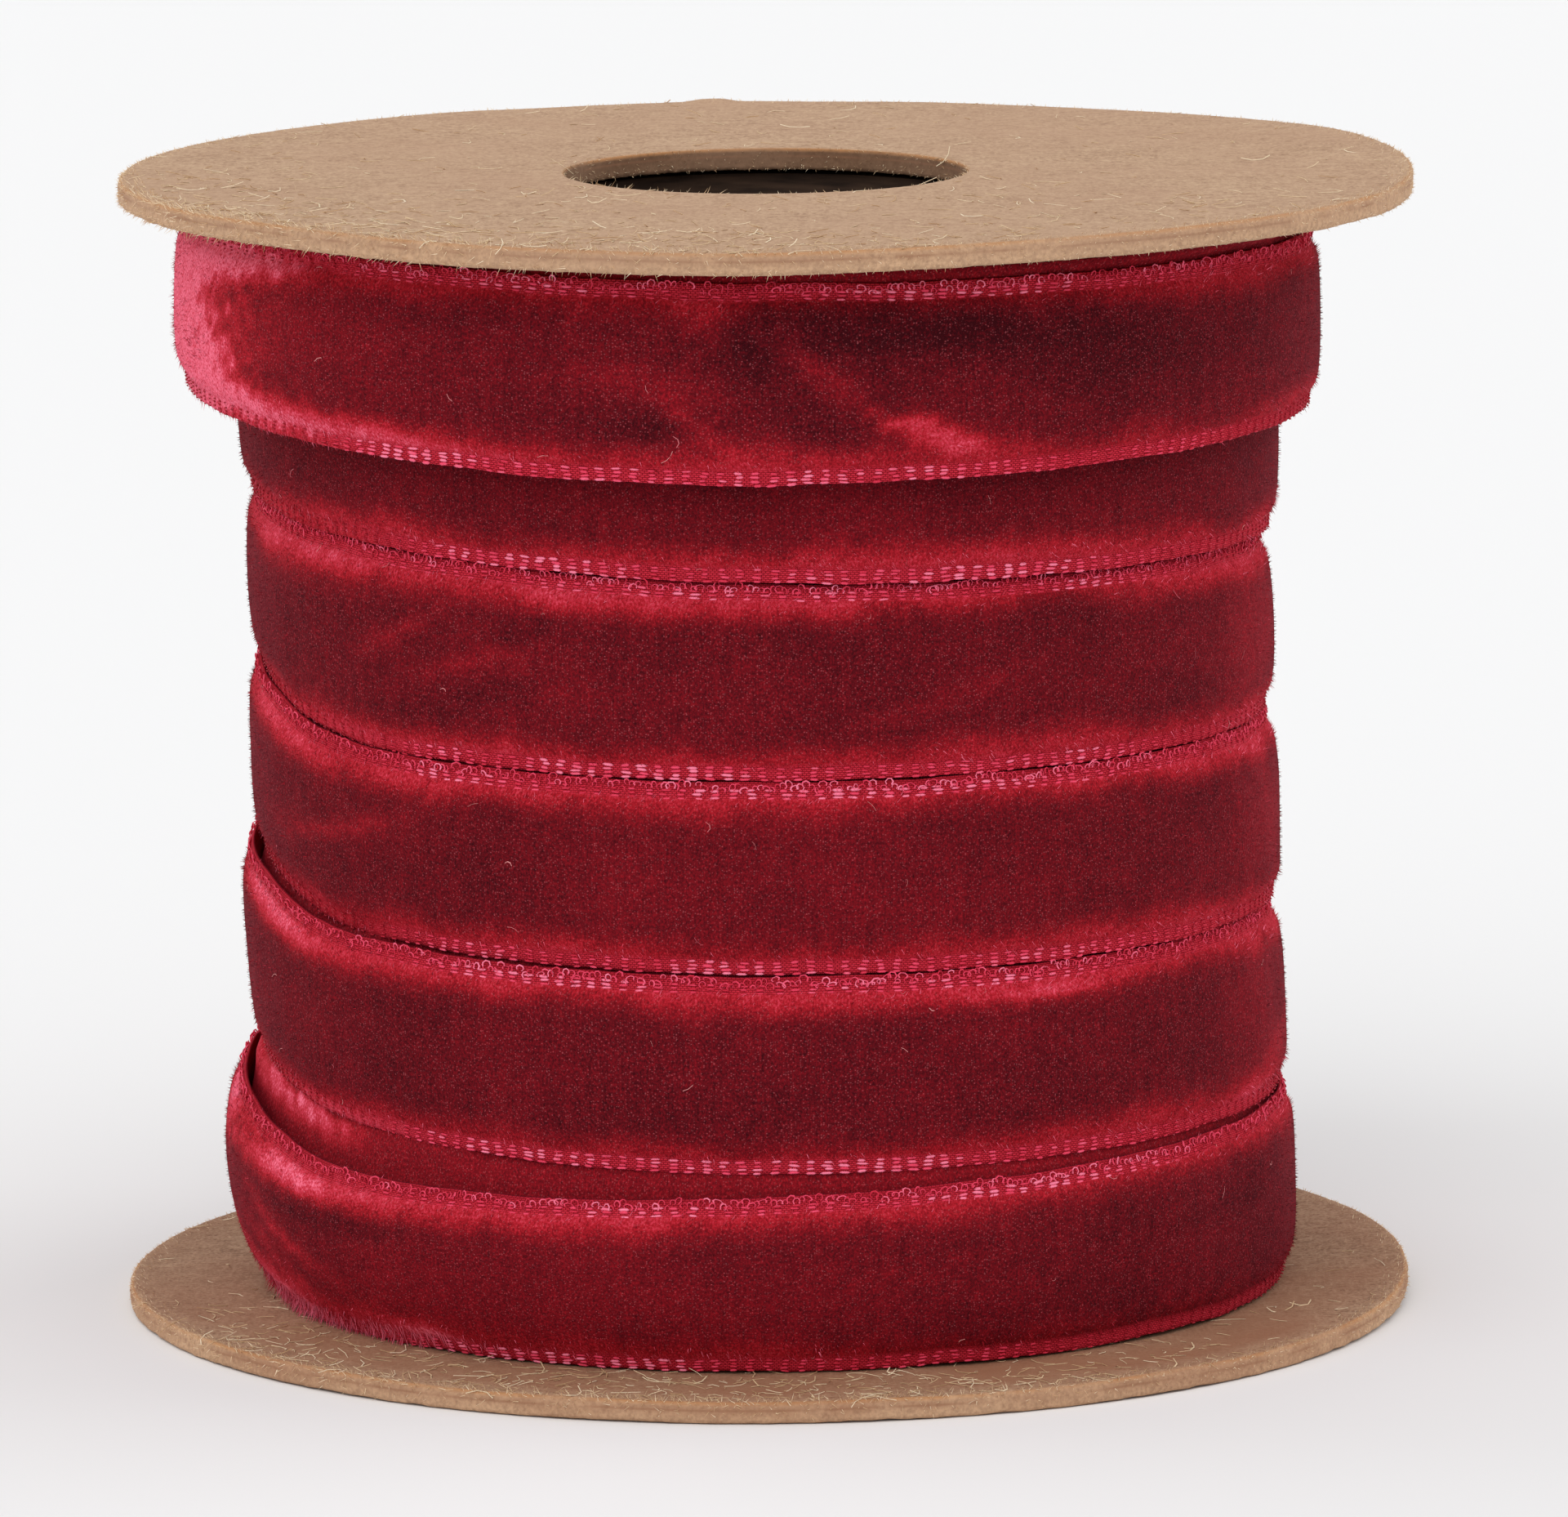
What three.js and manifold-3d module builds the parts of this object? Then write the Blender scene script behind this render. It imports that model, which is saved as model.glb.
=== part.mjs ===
// A spool of velvet gift ribbon: two board discs on a board core, with the ribbon wound between them.
// Millimetres, +Z up. The spool stands on its lower disc, with the origin at the middle of its foot.
import * as THREE from "three";
import { mergeVertices } from "three/addons/utils/BufferGeometryUtils.js";
import Module from "manifold-3d";

const wasm = await Module();
wasm.setup();

// Driving dimensions.
const DISC_RADIUS = 32;
const HOLE_RADIUS = 10;
const BOARD = 1.1; // thickness of the disc board
const EDGE_ROUND = 0.2; // die-cut corner of the board
const HEIGHT = 56.5;
const UPPER_DISC_SHIFT = 0.24; // the upper disc is glued a little off centre
const CORE_INNER_RADIUS = 11;
const CORE_OUTER_RADIUS = 12.5;
const CLEARANCE = 0.3; // between one piece and the next
const ROUND_STEPS = 64; // straight sides to a full turn, in every piece

// The discs are flat inside BEND_START and bent up or down in places at their rims.
const BEND_START = 24;
const DISC_RINGS = [HOLE_RADIUS, 17, BEND_START, 28]; // radii at which a disc's faces have points
const BENDS = [
  { disc: "lower", azimuth: 28, halfWidth: 60, lift: 0.7 },
  { disc: "upper", azimuth: 22, halfWidth: 40, lift: 0.35 },
  { disc: "upper", azimuth: -97, halfWidth: 40, lift: -0.28 },
];

// Places round the roll, in degrees from its left side, counter-clockwise as seen from above.
const PLACES = { left: 5, shoulder: 40, front: 90, right: 170 };

// The seam above each turn of the ribbon, as a height at each place, from the last turn down.
// The last row is the foot of the lowest turn. Behind the roll each seam runs down to the next row.
const SEAMS = [
  { left: 54.9, shoulder: 54.8, front: 54.3, right: 53.85 },
  { left: 46.4, shoulder: 45.5, front: 44.6, right: 45.0 },
  { left: 41.1, shoulder: 40.35, front: 39.5, right: 38.85 },
  { left: 32.4, shoulder: 30.3, front: 29.9, right: 29.8 },
  { left: 23.1, shoulder: 21.0, front: 20.5, right: 20.3 },
  { left: 13.1, shoulder: 11.5, front: 10.8, right: 10.9 },
  { left: 1.8, shoulder: 1.0, front: 0.8, right: 0.8 },
];

// How far each turn's upper edge hangs below the seam. The lowest turn gapes at the left.
const LOWEST_TURN = 5;
const CLOSE_GAPE = { left: 0.2, shoulder: 0.2, front: 0.2, right: 0.2 };
const LOWEST_GAPE = { left: 1.0, shoulder: 1.8, front: 0.9, right: 0.2 };
const GAPES = SEAMS.map((_, turn) => (turn === LOWEST_TURN ? LOWEST_GAPE : CLOSE_GAPE));

// For each turn, the radius at its upper and lower edge, and how far its middle bulges past them.
const LEFT_SIDE = [
  { upper: 28.9, lower: 29.1, bulge: 0.1 },
  { upper: 26.2, lower: 25.9, bulge: 0.05 },
  { upper: 25.7, lower: 25.45, bulge: 0.1 },
  { upper: 25.7, lower: 25.45, bulge: 0.1 },
  { upper: 26.2, lower: 25.65, bulge: 0.1 },
  { upper: 26.5, lower: 25.6, bulge: 0.95 },
];
const RIGHT_SIDE = [
  { upper: 27.7, lower: 27.6, bulge: 0.05 },
  { upper: 25.5, lower: 25.65, bulge: 0.05 },
  { upper: 25.1, lower: 25.45, bulge: 0.1 },
  { upper: 25.35, lower: 25.8, bulge: 0.1 },
  { upper: 25.5, lower: 26.15, bulge: 0.1 },
  { upper: 26.3, lower: 26.4, bulge: 0.1 },
];

// How far the lowest turn's upper edge stands away from the roll, by degrees from the left side.
const LOOSE_EDGE = [
  { at: -15, value: 0 },
  { at: 40, value: 0.9 },
  { at: 140, value: 0 },
];
const UNDER_RADIUS = 25; // the layers under the last turn, which reach both discs
const SEAM_DEPTH = 0.6;

// The ribbon across its width: a share of the way from its upper edge to its lower one,
// and how far it falls in there from the straight line between its edges.
const SECTION = [
  { across: 0, fall: 0.45 },
  { across: 0.1, fall: 0.05 },
  { across: 0.5, fall: 0 },
  { across: 0.87, fall: 0.05 },
  { across: 0.97, fall: 0.45 },
];

// The ribbon's free end, behind the roll: where it is cut, and the seam's fall along the cut.
const END = { start: 293, finish: 301, upper: 51.6, lower: 47.2 };
const FULL_TURN = 360;
const HALF_TURN = 180;
const BEYOND = 14; // how far the winding is carried past both discs before it is trimmed
const MERGE_DISTANCE = 1e-4; // points closer than this are one point

// A smooth curve through points of { at, value }, which never swings past them.
function smoothCurve(points) {
  const last = points.length - 1;
  const secant = (i) =>
    (points[i + 1].value - points[i].value) / (points[i + 1].at - points[i].at);
  const slope = (i) => {
    if (i === 0 || i === last) return 0;
    const before = secant(i - 1);
    const after = secant(i);
    return before * after > 0 ? (2 * before * after) / (before + after) : 0;
  };
  return (at) => {
    if (at <= points[0].at) return points[0].value;
    if (at >= points[last].at) return points[last].value;
    const i = points.findIndex((point) => point.at > at) - 1;
    const length = points[i + 1].at - points[i].at;
    const t = (at - points[i].at) / length;
    const rise = points[i + 1].value - points[i].value;
    return (
      points[i].value +
      rise * t * t * (3 - 2 * t) +
      length * t * (1 - t) * (slope(i) * (1 - t) - slope(i + 1) * t)
    );
  };
}

// A table with a row for each turn and a column for each place, as one curve along the ribbon.
function alongTurns(rows) {
  return rows.flatMap((row, turn) =>
    Object.entries(PLACES).map(([place, degrees]) => ({
      at: turn * FULL_TURN + degrees,
      value: row[place],
    })),
  );
}

// The seam as a height, for degrees turned since the left side of the last turn.
function seamCurve() {
  const points = [
    { at: END.start - FULL_TURN, value: HEIGHT + BEYOND },
    { at: END.finish - FULL_TURN, value: SEAMS[0].left },
    { at: END.start, value: END.upper },
    { at: END.finish, value: END.lower },
    ...alongTurns(SEAMS),
    { at: (SEAMS.length + 0.5) * FULL_TURN, value: -BEYOND },
  ];
  return smoothCurve(points.sort((a, b) => a.at - b.at));
}

// A size that eases from the left side to the right one and on to the next turn,
// with its value for the layers under the last turn.
function sideCurve(size, under) {
  const sides = LEFT_SIDE.flatMap((row, turn) => [
    { at: turn * FULL_TURN, value: row[size] },
    { at: turn * FULL_TURN + HALF_TURN, value: RIGHT_SIDE[turn][size] },
  ]);
  return smoothCurve([
    { at: END.start - FULL_TURN, value: under },
    { at: END.finish - FULL_TURN, value: sides[0].value },
    ...sides,
  ]);
}

const seamHeight = seamCurve();
const gapeHeight = smoothCurve(alongTurns(GAPES));
const upperRadius = sideCurve("upper", UNDER_RADIUS);
const lowerRadius = sideCurve("lower", UNDER_RADIUS);
const bulge = sideCurve("bulge", 0);
const looseEdge = smoothCurve(LOOSE_EDGE);

// The points across the ribbon at one place along it, from the seam above it down.
function ribbonSection(at) {
  const top = seamHeight(at);
  const bottom = seamHeight(at + FULL_TURN);
  const edge = Math.max(top - gapeHeight(at), (top + bottom) / 2);
  const seamRadius =
    Math.min(lowerRadius(at - FULL_TURN), upperRadius(at)) - SEAM_DEPTH;
  const upper = upperRadius(at) + looseEdge(at - LOWEST_TURN * FULL_TURN);
  const face = SECTION.map(({ across, fall }) => ({
    radius:
      THREE.MathUtils.lerp(upper, lowerRadius(at), across) +
      bulge(at) * 4 * across * (1 - across) -
      fall,
    height: THREE.MathUtils.lerp(edge, bottom, across),
  }));
  const floor = { radius: seamRadius, height: top };
  const foot = { radius: seamRadius, height: (edge + top) / 2 };
  return [floor, foot, ...face];
}

function pointAt(at, { radius, height }) {
  const angle = THREE.MathUtils.degToRad(at) + Math.PI;
  return [radius * Math.cos(angle), radius * Math.sin(angle), height];
}

// The winding as one closed surface: a strip whose turns share their seams, capped to the axis.
function windingGeometry() {
  const step = FULL_TURN / ROUND_STEPS;
  const firstAt = -FULL_TURN;
  const steps = (SEAMS.length + 1) * ROUND_STEPS;
  const lines = ribbonSection(firstAt).length;
  const positions = [];
  for (let i = 0; i <= steps; i++) {
    const at = firstAt + i * step;
    for (const spot of ribbonSection(at)) positions.push(...pointAt(at, spot));
  }
  // The last turn's lower seam is a row of its own, which starts a turn before the strip ends.
  const closing = positions.length / 3;
  for (let i = 1; i <= ROUND_STEPS; i++) {
    const at = firstAt + (steps + i) * step;
    positions.push(...pointAt(at, ribbonSection(at)[0]));
  }
  const index = [];
  const point = (i, line) => {
    if (line < lines) return i * lines + line;
    const next = i + ROUND_STEPS;
    return next <= steps ? next * lines : closing + next - steps - 1;
  };
  for (let i = 0; i < steps; i++) {
    for (let line = 0; line < lines; line++) {
      const a = point(i, line);
      const b = point(i + 1, line);
      const c = point(i + 1, line + 1);
      const d = point(i, line + 1);
      index.push(a, d, b, b, d, c);
    }
  }
  const fan = (rim, height, facingUp) => {
    const middle = positions.length / 3;
    positions.push(0, 0, height);
    for (let i = 0; i < rim.length; i++) {
      const a = rim[i];
      const b = rim[(i + 1) % rim.length];
      index.push(middle, facingUp ? a : b, facingUp ? b : a);
    }
  };
  const range = (count) => Array.from({ length: count }, (_, i) => i);
  const topRim = [
    ...range(ROUND_STEPS).map((i) => point(i, 0)),
    ...range(lines).map((i) => point(0, lines - i)),
  ];
  const bottomRim = [
    ...range(ROUND_STEPS).map((i) => point(steps - ROUND_STEPS + i, lines)),
    ...range(lines).map((i) => point(steps, lines - i)),
  ];
  fan(topRim, HEIGHT + BEYOND, true);
  fan(bottomRim, -BEYOND, false);
  const geometry = new THREE.BufferGeometry();
  geometry.setAttribute("position", new THREE.Float32BufferAttribute(positions, 3));
  geometry.setIndex(index);
  return geometry;
}

// A ring-shaped body of revolution about the Z axis, from a closed outline of [radius, height].
function turned(outline) {
  const closed = [...outline, outline[0]];
  const points = closed.map(([radius, height]) => new THREE.Vector2(radius, height));
  return new THREE.LatheGeometry(points, ROUND_STEPS).rotateX(Math.PI / 2);
}

function solidOf(geometry) {
  const bare = geometry.clone();
  bare.deleteAttribute("normal");
  bare.deleteAttribute("uv");
  const merged = mergeVertices(bare, MERGE_DISTANCE);
  return new wasm.Manifold(
    new wasm.Mesh({
      numProp: 3,
      vertProperties: merged.attributes.position.array,
      triVerts: new Uint32Array(merged.index.array),
    }),
  );
}

function geometryOf(solid) {
  const mesh = solid.getMesh();
  const geometry = new THREE.BufferGeometry();
  geometry.setAttribute("position", new THREE.BufferAttribute(mesh.vertProperties, 3));
  geometry.setIndex(new THREE.BufferAttribute(mesh.triVerts, 1));
  geometry.computeVertexNormals();
  return geometry;
}

function ribbonMesh() {
  const floor = BOARD + CLEARANCE;
  const ceiling = HEIGHT - BOARD - CLEARANCE;
  const bore = CORE_OUTER_RADIUS + CLEARANCE;
  const room = turned([
    [bore, floor],
    [DISC_RADIUS, floor],
    [DISC_RADIUS, ceiling],
    [bore, ceiling],
  ]);
  const wound = solidOf(windingGeometry()).intersect(solidOf(room));
  return new THREE.Mesh(geometryOf(wound), velvet);
}

// How far a disc's rim is bent up at a point.
function bendAt(disc, x, y) {
  const outward = THREE.MathUtils.smoothstep(Math.hypot(x, y), BEND_START, DISC_RADIUS);
  const azimuth = THREE.MathUtils.radToDeg(Math.atan2(y, x));
  return BENDS.filter((bend) => bend.disc === disc).reduce((sum, bend) => {
    const round = THREE.MathUtils.euclideanModulo(azimuth - bend.azimuth, FULL_TURN);
    const away = Math.min(round, FULL_TURN - round);
    const share = 1 - THREE.MathUtils.smoothstep(away, 0, bend.halfWidth);
    return sum + bend.lift * outward * share;
  }, 0);
}

function discMesh(disc, base) {
  const inward = [...DISC_RINGS].reverse();
  const geometry = turned([
    ...DISC_RINGS.map((radius) => [radius, base]),
    [DISC_RADIUS - EDGE_ROUND, base],
    [DISC_RADIUS, base + EDGE_ROUND],
    [DISC_RADIUS, base + BOARD - EDGE_ROUND],
    [DISC_RADIUS - EDGE_ROUND, base + BOARD],
    ...inward.map((radius) => [radius, base + BOARD]),
  ]);
  const position = geometry.attributes.position;
  for (let i = 0; i < position.count; i++) {
    const bend = bendAt(disc, position.getX(i), position.getY(i));
    position.setZ(i, position.getZ(i) + bend);
  }
  return new THREE.Mesh(geometry, kraftBoard);
}

function coreMesh() {
  const foot = BOARD + CLEARANCE;
  const head = HEIGHT - BOARD - CLEARANCE;
  const tube = turned([
    [CORE_INNER_RADIUS, foot],
    [CORE_OUTER_RADIUS, foot],
    [CORE_OUTER_RADIUS, head],
    [CORE_INNER_RADIUS, head],
  ]);
  return new THREE.Mesh(tube, coreBoard);
}

const kraftBoard = new THREE.MeshStandardMaterial({ color: 0xbe9873, roughness: 0.92, metalness: 0 });
const coreBoard = new THREE.MeshStandardMaterial({ color: 0x6b5140, roughness: 0.95, metalness: 0 });
const velvet = new THREE.MeshStandardMaterial({ color: 0x8c0f22, roughness: 0.85, metalness: 0 });

const spool = new THREE.Group();

const lowerDisc = discMesh("lower", 0);
lowerDisc.name = "disc_lower";

const upperDisc = discMesh("upper", HEIGHT - BOARD);
upperDisc.name = "disc_upper";
upperDisc.position.x = UPPER_DISC_SHIFT;

const core = coreMesh();
core.name = "core";

const ribbon = ribbonMesh();
ribbon.name = "ribbon";

spool.add(lowerDisc, upperDisc, core, ribbon);

export default spool;
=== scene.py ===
import math
import random
import bpy
import numpy as np
from mathutils import Matrix, Vector


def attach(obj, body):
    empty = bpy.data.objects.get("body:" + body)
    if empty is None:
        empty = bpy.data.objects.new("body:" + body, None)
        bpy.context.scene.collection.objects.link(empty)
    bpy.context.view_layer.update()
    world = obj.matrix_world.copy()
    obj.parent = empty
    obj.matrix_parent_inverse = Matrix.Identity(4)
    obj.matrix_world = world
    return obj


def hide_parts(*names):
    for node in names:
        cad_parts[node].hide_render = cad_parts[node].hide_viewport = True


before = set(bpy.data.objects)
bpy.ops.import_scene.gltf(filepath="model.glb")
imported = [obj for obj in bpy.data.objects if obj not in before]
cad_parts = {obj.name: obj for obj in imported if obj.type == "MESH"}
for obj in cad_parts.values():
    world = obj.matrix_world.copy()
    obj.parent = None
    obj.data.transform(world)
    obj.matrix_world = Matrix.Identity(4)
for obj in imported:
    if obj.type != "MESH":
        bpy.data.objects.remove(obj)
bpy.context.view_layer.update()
mm = 0.001
print("frame loaded")


def newObject(name, data):
    made = bpy.data.objects.new(name, data)
    bpy.context.scene.collection.objects.link(made)
    return made


def setInputs(tree, node, inputs):
    # an input takes a plain value or another node's output
    for key, value in inputs.items():
        if isinstance(value, bpy.types.NodeSocket):
            tree.links.new(value, node.inputs[key])
        else:
            node.inputs[key].default_value = value


def add(tree, kind, inputs=None, **settings):
    node = tree.nodes.new(kind)
    for key, value in settings.items():
        setattr(node, key, value)
    setInputs(tree, node, inputs or {})
    return node


def nodeMaterial(name):
    mat = bpy.data.materials.new(name)
    mat.use_nodes = True
    tree = mat.node_tree
    tree.nodes.clear()
    shader = add(tree, "ShaderNodeBsdfPrincipled")
    add(tree, "ShaderNodeOutputMaterial", {"Surface": shader.outputs["BSDF"]})
    return mat, tree, shader


# camera, where the photograph was taken from
camera = {
    "aimHeight": 28.8,      # mm above the surface
    "distance": 632.3,
    "elevation": 8.957,     # degrees, as are the next three
    "pan": -0.0854,
    "tilt": -0.1586,
    "roll": 0.4347,
    "lens": 291.39,         # mm
    "sensor": 36,
}


def placeCamera(c):
    data = bpy.data.cameras.new("camera")
    data.lens = c["lens"]
    data.sensor_width = c["sensor"]
    data.clip_start, data.clip_end = 0.01, 50
    cam = newObject("camera", data)
    up = math.radians(c["elevation"])
    back = Vector((0, -math.cos(up), math.sin(up))) * c["distance"] * mm
    turns = Matrix.Rotation(math.radians(90) - up, 4, "X")
    turns = turns @ Matrix.Rotation(math.radians(c["pan"]), 4, "Y")
    turns = turns @ Matrix.Rotation(math.radians(c["tilt"]), 4, "X")
    turns = turns @ Matrix.Rotation(-math.radians(c["roll"]), 4, "Z")
    place = Vector((0, 0, c["aimHeight"] * mm)) + back
    cam.matrix_world = Matrix.Translation(place) @ turns
    bpy.context.scene.camera = cam


placeCamera(camera)
bpy.context.scene.view_settings.view_transform = "Standard"
bpy.context.scene.view_settings.look = "None"

# soft studio light: an even white room and wide lamps, the main one from the left; angles in degrees,
# with azimuth 0 on the camera's side and 90 on the left
studio = {
    "room": 0.585,
    "lamps": [
        {"name": "mainLamp", "azimuth": 34, "elevation": 40, "strength": 0.92, "width": 60},
        {"name": "frontLamp", "azimuth": -25, "elevation": 48, "strength": 0.53, "width": 70},
        {"name": "backLamp", "azimuth": 128, "elevation": 22, "strength": 0.65, "width": 50},
        {"name": "rightLamp", "azimuth": -108, "elevation": 25, "strength": 0.75, "width": 50},
    ],
    "floorSize": 12,        # metres
    "floorDrop": 0.02,      # mm below the roll's foot
    "floorColour": (0.875, 0.875, 0.88, 1),
}


def lightStudio(s):
    world = bpy.data.worlds.new("studio")
    bpy.context.scene.world = world
    world.use_nodes = True
    sky = world.node_tree.nodes["Background"]
    sky.inputs["Color"].default_value = (1, 1, 1, 1)
    sky.inputs["Strength"].default_value = s["room"]
    for lamp in s["lamps"]:
        data = bpy.data.lights.new(lamp["name"], "SUN")
        data.energy = lamp["strength"]
        data.angle = math.radians(lamp["width"])
        sun = newObject(lamp["name"], data)
        a, e = math.radians(lamp["azimuth"]), math.radians(lamp["elevation"])
        towards = Vector((-math.sin(a) * math.cos(e), -math.cos(a) * math.cos(e), math.sin(e)))
        sun.rotation_euler = towards.to_track_quat("Z", "Y").to_euler()
    mesh = bpy.data.meshes.new("floor")
    half = s["floorSize"] / 2
    corners = [(-half, -half, 0), (half, -half, 0), (half, half, 0), (-half, half, 0)]
    mesh.from_pydata(corners, [], [(0, 1, 2, 3)])
    mat, tree, shader = nodeMaterial("paleFloor")
    setInputs(tree, shader, {"Base Color": s["floorColour"], "Roughness": 0.9, "Specular IOR Level": 0.0})
    mesh.materials.append(mat)
    floor = newObject("floor", mesh)
    floor.location.z = -s["floorDrop"] * mm


lightStudio(studio)
print("camera and light ready")

# sizes of the roll that several pieces share, in mm; the CAD part has the same ones
roll = {
    "discRadius": 32,
    "holeRadius": 10,
    "board": 1.1,
    "height": 56.5,
    "upperDiscShift": 0.24,
    "bendStart": 24,
    "bends": [
        {"disc": "lower", "azimuth": 28, "halfWidth": 60, "lift": 0.7},
        {"disc": "upper", "azimuth": 22, "halfWidth": 40, "lift": 0.35},
        {"disc": "upper", "azimuth": -97, "halfWidth": 40, "lift": -0.28},
    ],
    # the seam above each turn, at degrees from the left side, from the last turn down
    "places": {"left": 5, "shoulder": 40, "front": 90, "right": 170},
    "seams": [
        {"left": 54.9, "shoulder": 54.8, "front": 54.3, "right": 53.85},
        {"left": 46.4, "shoulder": 45.5, "front": 44.6, "right": 45.0},
        {"left": 41.1, "shoulder": 40.35, "front": 39.5, "right": 38.85},
        {"left": 32.4, "shoulder": 30.3, "front": 29.9, "right": 29.8},
        {"left": 23.1, "shoulder": 21.0, "front": 20.5, "right": 20.3},
        {"left": 13.1, "shoulder": 11.5, "front": 10.8, "right": 10.9},
        {"left": 1.8, "shoulder": 1.0, "front": 0.8, "right": 0.8},
    ],
    # behind the roll, the seam drops from the top turn to the next: degrees and height
    "seamBehind": [(293, 51.6), (301, 47.2)],
    "pastLastTurn": (2700, -14),
    "lowestTurn": 5,
    # mm between a turn and the one above it; less than 0 where it laps over
    "gape": {"left": -0.12, "shoulder": -0.01, "front": 0.03, "right": 0.03},
    "lowestGape": {"left": 1.0, "shoulder": 1.8, "front": 0.9, "right": 0.2},
    "gapeAtCut": 0.2,
    "clearOfBoard": 0.04,   # mm from the lower disc
    # each turn's radius at its upper and lower edge and the bulge between them
    "leftSide": [(28.9, 29.1, 0.1), (26.2, 25.9, 0.05), (25.7, 25.45, 0.1), (25.7, 25.45, 0.1),
                 (26.2, 25.65, 0.1), (26.5, 25.6, 0.95)],
    "rightSide": [(27.7, 27.6, 0.05), (25.5, 25.65, 0.05), (25.1, 25.45, 0.1), (25.35, 25.8, 0.1),
                  (25.5, 26.15, 0.1), (26.3, 26.4, 0.1)],
    "looseEdge": [(-15, 0), (40, 0.9), (140, 0)],
    "cutStart": -67,        # the free end's cut, degrees from the left side
    "cutFinish": -59,
    "tailEnd": 2175,        # where the lowest turn has gone under the one above it
    "mmPerDegree": 0.45,    # mm along the ribbon for a degree round the roll
    # degrees where the upper edge lies under the turn above, and how it gets there and back
    "hidden": (292, 722),
    "tucked": (284, 293, 600, 718),
    "tailTucked": (1985, 2060),
    "footLift": (0.12, 1840, 1990),     # mm, and the degrees over which the lowest turn's foot rises
    "tailSinks": (1.15, 1975, 2050),    # mm, and the degrees over which the tail goes in
}


def smoothstep(x, low, high):
    t = np.clip((np.asarray(x, float) - low) / (high - low), 0, 1)
    return t * t * (3 - 2 * t)


def hump(x, rises, risen, falls, fallen):
    return smoothstep(x, rises, risen) * (1 - smoothstep(x, falls, fallen))


def smoothCurve(points):
    # a curve through points that never swings past them
    at, value = np.array(sorted(points), float).T
    secant = np.diff(value) / np.diff(at)
    before, after = secant[:-1], secant[1:]
    rising = before * after > 0
    slope = np.zeros(len(at))
    mean = 2 * before * after / np.where(rising, before + after, 1)
    slope[1:-1] = np.where(rising, mean, 0)

    def curve(x):
        x = np.clip(np.asarray(x, float), at[0], at[-1])
        i = np.clip(np.searchsorted(at, x, side="right") - 1, 0, len(at) - 2)
        length = at[i + 1] - at[i]
        t = (x - at[i]) / length
        swell = length * t * (1 - t) * (slope[i] * (1 - t) - slope[i + 1] * t)
        return value[i] + (value[i + 1] - value[i]) * t * t * (3 - 2 * t) + swell

    return curve


def alongTurns(rows):
    return [(turn * 360 + roll["places"][place], row[place])
            for turn, row in enumerate(rows) for place in row]


def sideCurve(column):
    sides = []
    for turn, row in enumerate(roll["leftSide"]):
        sides.append((turn * 360, row[column]))
        sides.append((turn * 360 + 180, roll["rightSide"][turn][column]))
    return smoothCurve(sides)


seamHeight = smoothCurve([(roll["cutFinish"], roll["seams"][0]["left"]), *roll["seamBehind"],
                          *alongTurns(roll["seams"]), roll["pastLastTurn"]])
upperRadius = sideCurve(0)
lowerRadius = sideCurve(1)
bulgeOf = sideCurve(2)
looseEdge = smoothCurve(roll["looseEdge"])
gapeOf = smoothCurve(alongTurns([roll["gape"]] * roll["lowestTurn"] + [roll["lowestGape"], roll["gape"]]))


def bendAt(disc, x, y):
    outward = smoothstep(np.hypot(x, y), roll["bendStart"], roll["discRadius"])
    azimuth = np.degrees(np.arctan2(y, x))
    lift = 0
    for bend in roll["bends"]:
        if bend["disc"] == disc:
            away = np.abs((azimuth - bend["azimuth"] + 180) % 360 - 180)
            lift = lift + bend["lift"] * outward * (1 - smoothstep(away, 0, bend["halfWidth"]))
    return lift


def wave(seed, along, across=0.0, size=1.0, octaves=3):
    # smooth random wave, about -1 to 1, the same on every run
    rng = random.Random(seed)
    total = 0.0
    weight = 0.0
    for octave in range(octaves):
        scale = 2 ** octave / size
        for _ in range(4):
            turn = rng.uniform(0, 2 * math.pi)
            kx = scale * rng.uniform(0.7, 1.3) * math.cos(turn)
            ky = scale * rng.uniform(0.7, 1.3) * math.sin(turn)
            total = total + np.sin(kx * along * 2 * math.pi + ky * across * 2 * math.pi
                                   + rng.uniform(0, 6.28)) / 2 ** octave
        weight += 4 * 0.62 / 2 ** octave
    return total / weight * 1.2


def alongMm(at):
    return at * roll["mmPerDegree"]


def meshPiece(name, points, faces, material, smooth=True):
    mesh = bpy.data.meshes.new(name)
    mesh.from_pydata([tuple(p) for p in points], [], faces)
    mesh.materials.append(material)
    mesh.polygons.foreach_set("use_smooth", [smooth] * len(mesh.polygons))
    mesh.update()
    return newObject(name, mesh)


def gridFaces(rows, columns, closedRows=False, closedColumns=False):
    faces = []
    for i in range(rows if closedRows else rows - 1):
        for j in range(columns if closedColumns else columns - 1):
            row, nextRow = i * columns, (i + 1) % rows * columns
            nextColumn = (j + 1) % columns
            faces.append((row + j, row + nextColumn, nextRow + nextColumn, nextRow + j))
    return faces


def setValues(mesh, name, kind, values):
    data = mesh.attributes.new(name, kind, "POINT").data
    field = "vector" if kind == "FLOAT_VECTOR" else "value"
    data.foreach_set(field, np.asarray(values, np.float32).ravel())


def setRibbonUv(mesh, along, across):
    # along and across are shares of the ribbon's width, one for each point
    layer = mesh.uv_layers.new(name="ribbonUv")
    corners = np.zeros(len(mesh.loops), np.int32)
    mesh.loops.foreach_get("vertex_index", corners)
    uv = np.stack([along.ravel()[corners], across.ravel()[corners]], -1)
    layer.data.foreach_set("uv", uv.astype(np.float32).ravel())


def mathNode(tree, operation, a, b=None):
    inputs = {0: a} if b is None else {0: a, 1: b}
    return add(tree, "ShaderNodeMath", inputs, operation=operation).outputs[0]


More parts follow.
